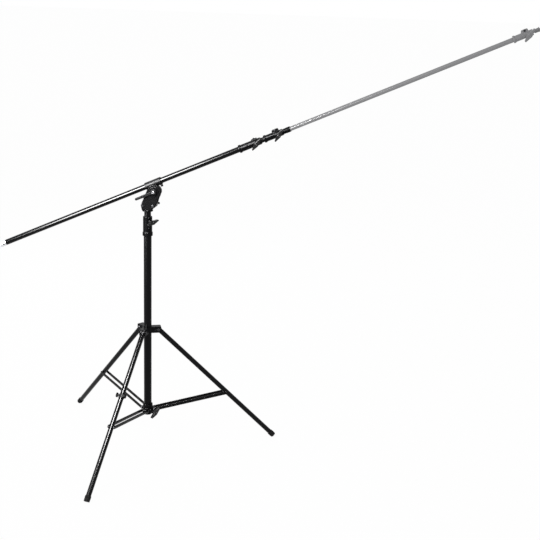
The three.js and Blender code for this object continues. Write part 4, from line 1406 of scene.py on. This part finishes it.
@dataclass
class Head:
    """The tilt head on the riser, with its bolts, screws and lever."""

    bench: Bench
    depth: float = 44.0
    inner: float = 17.3
    front_cheek: float = 32.0
    back_cheek: float = 20.0
    ring: float = 21.0
    ring_proud: float = 1.5
    slot: float = 49.0
    shoulder: float = 9.0
    shoulder_left: float = -25.5
    shoulder_right: float = 40.5
    shoulder_rise: float = 27.7
    base_half: float = 21.5
    base_round: float = 4.0
    base_ring: float = 24.0
    base_ring_height: float = 6.0
    neck: float = 19.9
    neck_rise: float = 8.0
    socket: float = 15.3
    socket_depth: float = 43.0
    bolt_left: float = -19.0
    bolt_right: float = 29.0
    bolt: float = 2.8
    bolt_head: float = 5.0
    bolt_head_height: float = 5.0
    tilt_bolt: float = 5.0
    tilt_head: float = 6.5
    nut: float = 8.5
    washer: float = 8.2
    pan_rise: float = 38.7
    pan_screw: float = 2.0
    pan_grip: float = 4.6
    pan_grip_length: float = 6.0
    lever_angle: float = 205.0
    lever_length: float = 92.0
    lever_ends: Point = (7.5, 5.5)
    lever_thickness: float = 8.0
    hub: float = 14.0
    hub_top: float = 12.4
    hub_crown: float = 9.5
    hub_height: float = 10.0

    def __post_init__(self) -> None:
        """Reads where the head stands."""
        self.low = span("head_casting", UPRIGHT)[0]
        self.pivot = joint_place("boom_tilt")
        self.axle = across(self.pivot.x, self.pivot.z)
        self.front = self.depth / 2
        self.shoulder_height = self.low + self.shoulder_rise

    def build(self) -> None:
        """Builds the head's pieces."""
        self._casting()
        self._bolts()
        self._pan_screw()
        self._lever()

    def _plate(self, top: float, thickness: float, edge: float) -> Shape:
        """Makes an upright plate with the head's outline.

        Args:
            top: The radius of its round top.
            thickness: Its thickness.
            edge: The rounding of its rims.

        Returns:
            The plate.
        """
        foot, corner = self.low + self.base_ring_height + self.base_round, self.base_round
        outline = belt([
            (corner - self.base_half, foot, corner), (self.base_half - corner, foot, corner),
            (self.shoulder_right - self.shoulder, self.shoulder_height, self.shoulder),
            (self.pivot.x, self.pivot.z, top),
            (self.shoulder_left + self.shoulder, self.shoulder_height, self.shoulder),
        ], 20)
        return Shape.slab(outline, thickness, edge).moved(turn(90, "X"))

    def _casting(self) -> None:
        """Builds the casting with its two cheeks and its socket."""
        body = self._plate(self.back_cheek, self.depth, 4.0)
        cheek = self._plate(self.front_cheek, 2 * (self.front - self.inner), 3.4)
        cheek.moved(shift(0, -self.inner, 0))
        ring = Shape.spun([(self.ring, 0), (self.ring, self.front + self.ring_proud)], 1.0)
        ring.moved(self.axle, turn(180, "X"))
        base = Shape.spun([
            (self.base_ring, self.low), (self.base_ring, self.low + self.base_ring_height),
            (self.neck, self.low + self.neck_rise), (self.neck, self.shoulder_height),
        ], 1.3)
        pan = shift(0, 0, self.low + self.pan_rise) @ turn(90, "Y")
        cuts = [
            Shape.drill(self.slot, -self.inner, self.inner, 96).moved(self.axle),
            Shape.drill(self.socket, self.low - OVERCUT, self.low + self.socket_depth, TURN_SIDES),
            Shape.drill(TILT_HOLE, -40, 40).moved(self.axle),
            Shape.drill(self.pan_screw + PLAY, 0, 60, 24).moved(pan),
        ]
        for x in (self.bolt_left, self.bolt_right):
            place = across(x, self.shoulder_height)
            cuts.append(Shape.drill(self.bolt + PLAY, -40, 40, 24).moved(place))
            cuts.append(Shape.drill(self.bolt_head + PLAY, -40, 4 - self.front).moved(place))
        self.bench.lay("head_casting", body.joined(cheek, ring, base).cut(*cuts).cast(0.75), POWDER, UPRIGHT)

    def _bolts(self) -> None:
        """Builds the head's bolts, the tilt bolt and its nut."""
        for side, x in (("left", self.bolt_left), ("right", self.bolt_right)):
            place = across(x, self.shoulder_height)
            low, high, _ = span(f"head_bolt_{side}", place)
            near, far = low + self.bolt_head_height, high - self.bolt_head_height
            bolt = Shape.spun([
                (self.bolt_head, low), (self.bolt_head, near), (self.bolt, near), (self.bolt, far),
                (self.bolt_head, far), (self.bolt_head, high),
            ], 0.6, 4, FINE_SIDES).cut(Shape.hexagon(2.4, 5).moved(shift(0, 0, low)))
            self.bench.lay(f"head_bolt_{side}", bolt, DARK_STEEL, place)
        low, high, _ = span("tilt_bolt", self.axle)
        bolt = Shape.spun([
            (5.2, low), (self.tilt_head, low + 1), (self.tilt_head, low + 5), (self.tilt_bolt, low + 5),
            (self.tilt_bolt, high),
        ], 0.4, 4, FINE_SIDES).cut(Shape.hexagon(3.0, 5).moved(shift(0, 0, low)))
        thread = self.bench.screw_thread(4.75, 4.5, 1.0).moved(shift(0, 0, high - 5.2))
        self.bench.lay("tilt_bolt", bolt.beside(thread), BRIGHT_STEEL, self.axle)
        low, high, _ = span("tilt_nut", self.axle)
        nut = Shape.hexagon(self.nut, high - low, 0.5).moved(shift(0, 0, (low + high) / 2))
        washer = Shape.pipe(self.washer, TILT_HOLE, low, low + 1.2)
        nut = nut.cut(Shape.drill(TILT_HOLE, low - 5, high + 5)).beside(washer)
        self.bench.lay("tilt_nut", nut, DARK_STEEL, self.axle)

    def _pan_screw(self) -> None:
        """Builds the small screw that locks the pan, with its knurled head."""
        place = shift(0, 0, self.low + self.pan_rise) @ turn(90, "Y")
        low, high, _ = span("pan_lock_screw", place)
        neck = high - self.pan_grip_length
        screw = Shape.spun([
            (self.pan_screw, low), (self.pan_screw, neck), (self.pan_grip, neck), (self.pan_grip, high),
            (2.5, high), (2.5, high - 0.6),
        ], 0.4, 3, FINE_SIDES)
        grip = self.bench.grip(self.pan_grip - 0.05, 4.4, 26, 0.42).moved(shift(0, 0, high - 3))
        self.bench.lay("pan_lock_screw", screw.beside(grip), BLACK_PLASTIC, place)

    def _lever(self) -> None:
        """Builds the tilt lever with its hub."""
        place = shift(self.pivot.x, 0, self.pivot.z) @ turn(-self.lever_angle, "Y")
        back = -self.front - self.ring_proud - PLAY
        front = back - self.hub_height
        near, far = self.lever_ends
        arm = Shape.slab(belt([(0, 0, near), (self.lever_length - far, 0, far)]), self.lever_thickness, 2.2)
        arm.moved(shift(0, (back + front) / 2, 0), turn(90, "X"))
        hub = Shape.spun([
            (self.hub_crown, front), (self.hub_crown, front + 0.8), (self.hub_top, front + 0.8),
            (self.hub, front + 3), (self.hub, back),
        ], 0.9).moved(turn(-90, "X"))
        hole = Shape.drill(TILT_HOLE, front - OVERCUT, back + OVERCUT).moved(turn(-90, "X"))
        self.bench.lay("tilt_lever", arm.joined(hub).cut(hole).cast(0.6), LEVER_COAT, place)


@dataclass
class Boom:
    """The boom: its holder, three sections with their clamps, the tail plug and the spigot."""

    bench: Bench
    elevation: float = 24.7
    offset: float = 33.05
    radii: Triple = (12.5, 11.0, 9.5)
    wall: float = 1.2
    liner_wall: float = 1.2
    sleeve_wall: float = 2.2
    disc: float = 25.0
    disc_thickness: float = 34.0
    screw_station: float = 37.5
    screw_boss: float = 6.0
    screw_shaft: float = 3.0
    screw_grip: float = 5.1
    screw_grip_length: float = 7.0
    clamp_screw: float = -78.0
    plug: float = 12.5
    plug_groove: float = 12.0
    plug_neck: float = 11.0
    groove_station: float = 8.0
    tail_cover: float = 15.0
    tail_hole: float = 5.6
    tail_hole_back: float = 24.0
    spigot: float = 8.0
    spigot_groove: float = 5.2
    spigot_inside: float = 36.0
    flange: float = 9.6
    flange_station: float = 23.0
    flange_thickness: float = 3.5
    stud: float = 3.7

    def __post_init__(self) -> None:
        """Reads where the boom lies."""
        pivot = joint_place("boom_tilt")
        self.arm = shift(pivot.x, 0, pivot.z) @ turn(-self.elevation, "Y")
        self.axis = self.arm @ shift(0, 0, self.offset) @ turn(90, "Y")

    def build(self) -> None:
        """Builds the boom from its holder to its tip."""
        self._holder()
        for i, finish in enumerate((GLOSS_BLACK, GLOSS_BLACK, GREY_TUBE)):
            cover = self.tail_cover if i == 0 else 0.0
            self.bench.lay_tube(f"boom_tube_{i + 1}", self.radii[i], self.wall, finish, self.axis, cover)
        self._tail()
        self._clamp("clamp_1", 100.0, 0, self.radii[1], 120.0, 31.0, (0.0, 3.0))
        self._clamp("clamp_2", 86.0, 1, self.radii[2], 180.0, 35.0, (14.0, 20.0))
        self._clamp("end_clamp", 80.0, 2, self.spigot, 180.0, 35.0, None)
        self._spigot()

    def _holder(self) -> None:
        """Builds the friction disc with its sleeve, the liner and the sleeve's screw."""
        low, high, _ = span("sleeve_liner", self.axis)
        tube = self.radii[0] + PLAY
        outer = tube + self.liner_wall + PLAY + self.sleeve_wall
        half, past = self.disc_thickness / 2, self.offset - outer - 2
        disc = Shape.spun([(self.disc, -half), (self.disc, half)], 1.2).moved(turn(-90, "X"))
        lay_along = shift(0, 0, self.offset) @ turn(90, "Y")
        sleeve = Shape.spun([(outer, low), (outer, high)], 1.0).moved(lay_along)
        station = shift(self.screw_station, 0, 0)
        boss = Shape.rod(self.screw_boss, past, self.offset, 0.6).moved(station)
        bore = tube + self.liner_wall + PLAY
        cuts = [
            Shape.drill(bore, low - OVERCUT, high + OVERCUT, TURN_SIDES).moved(lay_along),
            Shape.drill(SMALL_PIN_HOLE, past - OVERCUT, self.offset, 28).moved(station),
            Shape.drill(TILT_HOLE, -30, 30).moved(turn(-90, "X")),
        ]
        self.bench.lay("boom_holder", disc.joined(sleeve, boss).cut(*cuts).cast(0.7), HOLDER_COAT, self.arm)
        self.bench.lay_tube("sleeve_liner", tube + self.liner_wall, self.liner_wall, BLACK_PLASTIC, self.axis)
        place = self.arm @ station
        low, high, _ = span("sleeve_lock_screw", place)
        neck = low + self.screw_grip_length
        screw = Shape.spun([
            (self.screw_grip, low), (self.screw_grip, neck), (self.screw_shaft, neck), (self.screw_shaft, high),
        ], 0.6, 3, FINE_SIDES)
        grip = self.bench.grip(self.screw_grip - 0.05, 5.2, 28, 0.42).moved(shift(0, 0, low + 3.5))
        self.bench.lay("sleeve_lock_screw", screw.beside(grip), BLACK_PLASTIC, place)

    def _tail(self) -> None:
        """Builds the turned tail plug with its cross hole."""
        low, high, _ = span("tail_plug", self.axis)
        tube_low, _, _ = span("boom_tube_1", self.axis)
        head = tube_low - self.tail_cover - PLAY
        groove = low + self.groove_station
        plug = Shape.spun([
            (self.plug, low), (self.plug, groove), (self.plug_groove, groove + 0.5),
            (self.plug_groove, groove + 1.5), (self.plug, groove + 2), (self.plug, head), (self.plug_neck, head),
            (self.plug_neck, high),
        ], 0.8)
        station = tube_low - self.tail_hole_back
        hole = Shape.drill(self.tail_hole, -20, 20, FINE_SIDES).moved(across(0, 0))
        hole.moved(shift(0, 0, station))
        # The cross hole's wall is coloured near black: painted shade, not the aluminium's own colour
        finish = replace(BARE_ALUMINIUM, hole_station=station, hole_radius=self.tail_hole + 0.2)
        self.bench.lay("tail_plug", plug.cut(hole), finish, self.axis)

    def _clamp(
        self, name: str, length: float, index: int, inner: float, lobe: float, wing: float, rim: Point | None,
    ) -> None:
        """Builds one clamp of the boom.

        Args:
            name: The clamp's name in the frame.
            length: The casting's length.
            index: Which section it grips.
            inner: The radius of what it locks.
            lobe: The direction of its slit lobe, in degrees.
            wing: The direction of its screw's wings, in degrees.
            rim: The neck and the head of its bush, if it has one.
        """
        place = self.axis @ shift(0, 0, span(f"{name}_body", self.axis)[0])
        clamp = SplitClamp(
            outer_tube=self.radii[index], inner_tube=inner, length=length, grip=length / 2, ring=8.0,
            screw_angle=self.clamp_screw, screw_station=16.0, wing_angle=wing, lobe_angle=lobe,
            has_bush=rim is not None,
        )
        is_grey = index == 2
        face_bolts = [(self.clamp_screw, length * 0.41)] if index == 0 else []
        self.bench.lay(f"{name}_body", clamp.casting(face_bolts), GREY_CASTING if is_grey else POWDER, place)
        self.bench.lay(f"{name}_bolt", clamp.lobe_bolt(), DARK_STEEL, place)
        if rim is not None:
            self.bench.lay(f"{name}_bush", clamp.bush(*rim), BUSH_PLASTIC, place)
        clamp.lay_screw(self.bench, f"{name}_screw", GREY_PLASTIC if is_grey else BLACK_PLASTIC, place)

    def _spigot(self) -> None:
        """Builds the turned spigot with its groove, flange and threaded stud."""
        low, high, _ = span("spigot", self.axis)
        mouth = low + self.spigot_inside
        start = mouth + self.flange_station
        end = start + self.flange_thickness
        spigot = Shape.spun([
            (self.spigot, low), (self.spigot, mouth), (self.spigot_groove, mouth + 0.8),
            (self.spigot_groove, mouth + 5.2), (self.spigot, mouth + 6), (self.spigot, start),
            (self.flange, start), (self.flange, end), (self.stud, end), (self.stud, high - 0.8),
            (self.stud - 0.7, high),
        ], 0.4, 3)
        thread = self.bench.screw_thread(self.stud - 0.08, 18.0, 1.1).moved(shift(0, 0, end + 0.7))
        self.bench.lay("spigot", spigot.beside(thread), GREY_TURNED, self.axis)


# Surroundings, with lengths in metres


@dataclass(frozen=True)
class Lamp:
    """A soft rectangular lamp: its place, what it shines at, its first side's direction and its size."""

    name: str
    spot: Triple
    aim: Triple
    along: Triple
    size: Point
    power: float
    spread: float = 180.0
    is_sheen: bool = False

    def hang(self) -> None:
        """Hangs the lamp. A sheen lamp shows in gloss alone."""
        data = bpy.data.lights.new(self.name, "AREA")
        data.shape = "RECTANGLE"
        data.size, data.size_y = self.size
        data.energy = self.power
        data.spread = math.radians(self.spread)
        lamp = stand(self.name, data)
        spot, along = Vector(self.spot), Vector(self.along)
        back = (spot - Vector(self.aim)).normalized()
        first = (along - along.dot(back) * back).normalized()
        lamp.matrix_world = facing(first, back.cross(first), back, spot)
        lamp.visible_camera = False
        lamp.visible_diffuse = not self.is_sheen


LAMPS = (
    Lamp("key", (-1.6, -3.4, 3.2), (0.1, 0.0, 1.0), (1, 0, 0), (2.4, 1.6), 72.0),
    Lamp("back", (-1.8, 3.2, 2.8), (0.1, 0.0, 1.0), (1, 0, 0), (2.4, 1.6), 40.0),
    Lamp(
        "boom_sheen", (-2.02, -2.7, 2.1), (-0.2, 0, 1.0), (1.51, -0.23, 0.88), (2.3, 2.2), 230.0,
        spread=42.0, is_sheen=True,
    ),
    Lamp(
        "leg_sheen", (-0.22, -2.45, 4.1), (-0.03, -0.33, 0.13), (0.09, 0.69, 0.71), (2.0, 1.2), 80.0,
        spread=30.0, is_sheen=True,
    ),
)


@dataclass
class Studio:
    """The floor, the white surround, the lamps and the camera."""

    eye: Point = (1.298, -4.169)
    eye_height: float = 2.1195
    heading: Point = (-0.1757, 0.9844)
    pitch: float = 16.13
    roll: float = 1.95
    lens: float = 67.483
    film_width: float = 36.0
    view_range: float = 60.0
    floor_size: float = 300.0
    floor_gap: float = 0.0005
    floor_white: float = 0.92
    floor_glow: float = 0.97
    ambient: float = 0.6

    def build(self, floor_height: float) -> None:
        """Builds the surroundings.

        Args:
            floor_height: The floor's height in the row frame.
        """
        self._camera(floor_height)
        self._floor(floor_height)
        self._surround()
        for lamp in LAMPS:
            lamp.hang()

    def _camera(self, floor_height: float) -> None:
        """Sets the camera at the photograph's angle.

        Args:
            floor_height: The floor's height in the row frame.
        """
        tilt, roll = math.radians(self.pitch), math.radians(self.roll)
        ahead = Vector((*self.heading, 0)).normalized()
        forward = (ahead * math.cos(tilt) - Vector((0, 0, math.sin(tilt)))).normalized()
        level = forward.cross(Vector((0, 0, 1))).normalized()
        upright = level.cross(forward)
        right = level * math.cos(roll) + upright * math.sin(roll)
        above = upright * math.cos(roll) - level * math.sin(roll)
        data = bpy.data.cameras.new("camera")
        data.sensor_width = self.film_width
        data.lens = self.lens
        data.clip_end = self.view_range
        camera = stand("camera", data)
        spot = Vector((*self.eye, floor_height + self.eye_height))
        camera.matrix_world = facing(right, above, -forward, spot)
        bpy.context.scene.camera = camera

    def _floor(self, height: float) -> None:
        """Lays the pale floor, white to the camera apart from the object's shadow.

        Args:
            height: The floor's height in the row frame.
        """
        body = bmesh.new()
        bmesh.ops.create_grid(body, x_segments=1, y_segments=1, size=self.floor_size)
        mesh = bpy.data.meshes.new("floor")
        body.to_mesh(mesh)
        body.free()
        floor = stand("floor", mesh)
        floor.location = (0, 0, height - self.floor_gap)
        material = bpy.data.materials.new("pale_floor")
        material.use_nodes = True
        board = Wiring(material.node_tree)
        shader = board.nodes["Principled BSDF"]
        board.feed(shader, {
            "Base Color": (*(self.floor_white,) * 3, 1), "Roughness": 0.9, "Specular IOR Level": 0.0,
        })
        share = board.add("ShaderNodeMath", {0: self._seen(board), 1: self.floor_glow}, operation="MULTIPLY")
        glow = board.add("ShaderNodeEmission", {})
        mix = board.add("ShaderNodeMixShader", {
            "Fac": share["Value"], 1: shader.outputs["BSDF"], 2: glow["Emission"],
        })
        board.feed(board.nodes["Material Output"], {"Surface": mix["Shader"]})
        mesh.materials.append(material)
        floor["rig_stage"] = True

    def _seen(self, board: Wiring) -> Socket:
        """Adds up the rays that see the white surround.

        Args:
            board: The nodes of a material or a world.

        Returns:
            One for such a ray and zero for the others.
        """
        rays = board.add("ShaderNodeLightPath", {})
        total = rays["Is Camera Ray"]
        for name in ("Is Glossy Ray", "Is Transmission Ray"):
            total = board.add("ShaderNodeMath", {0: total, 1: rays[name]}, operation="MAXIMUM")["Value"]
        return total

    def _surround(self) -> None:
        """Makes the surround white to the camera and in reflections, and a soft grey light elsewhere."""
        world = bpy.data.worlds.new("surround")
        world.use_nodes = True
        board = Wiring(world.node_tree)
        strength = board.add("ShaderNodeMapRange", {
            "Value": self._seen(board), "To Min": self.ambient, "To Max": 1.0,
        })
        board.feed(board.nodes["Background"], {"Color": (1, 1, 1, 1), "Strength": strength["Result"]})
        bpy.context.scene.world = world
        bpy.context.scene.view_settings.view_transform = "Standard"


def main() -> None:
    """Builds the studio and dresses every piece of the frame."""
    logging.basicConfig(level=logging.INFO, format="%(name)s %(message)s")
    start = [list(corner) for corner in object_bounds()]
    Studio().build(start[0][2])
    bench = Bench()
    Column(bench).build()
    for side, azimuth in LEGS.items():
        Leg(bench, side, azimuth).build()
    Collar(bench).build()
    Head(bench).build()
    Boom(bench).build()
    log.info("%d pieces, %d faces", bench.made, bench.faces)


if __name__ == "__main__":
    main()
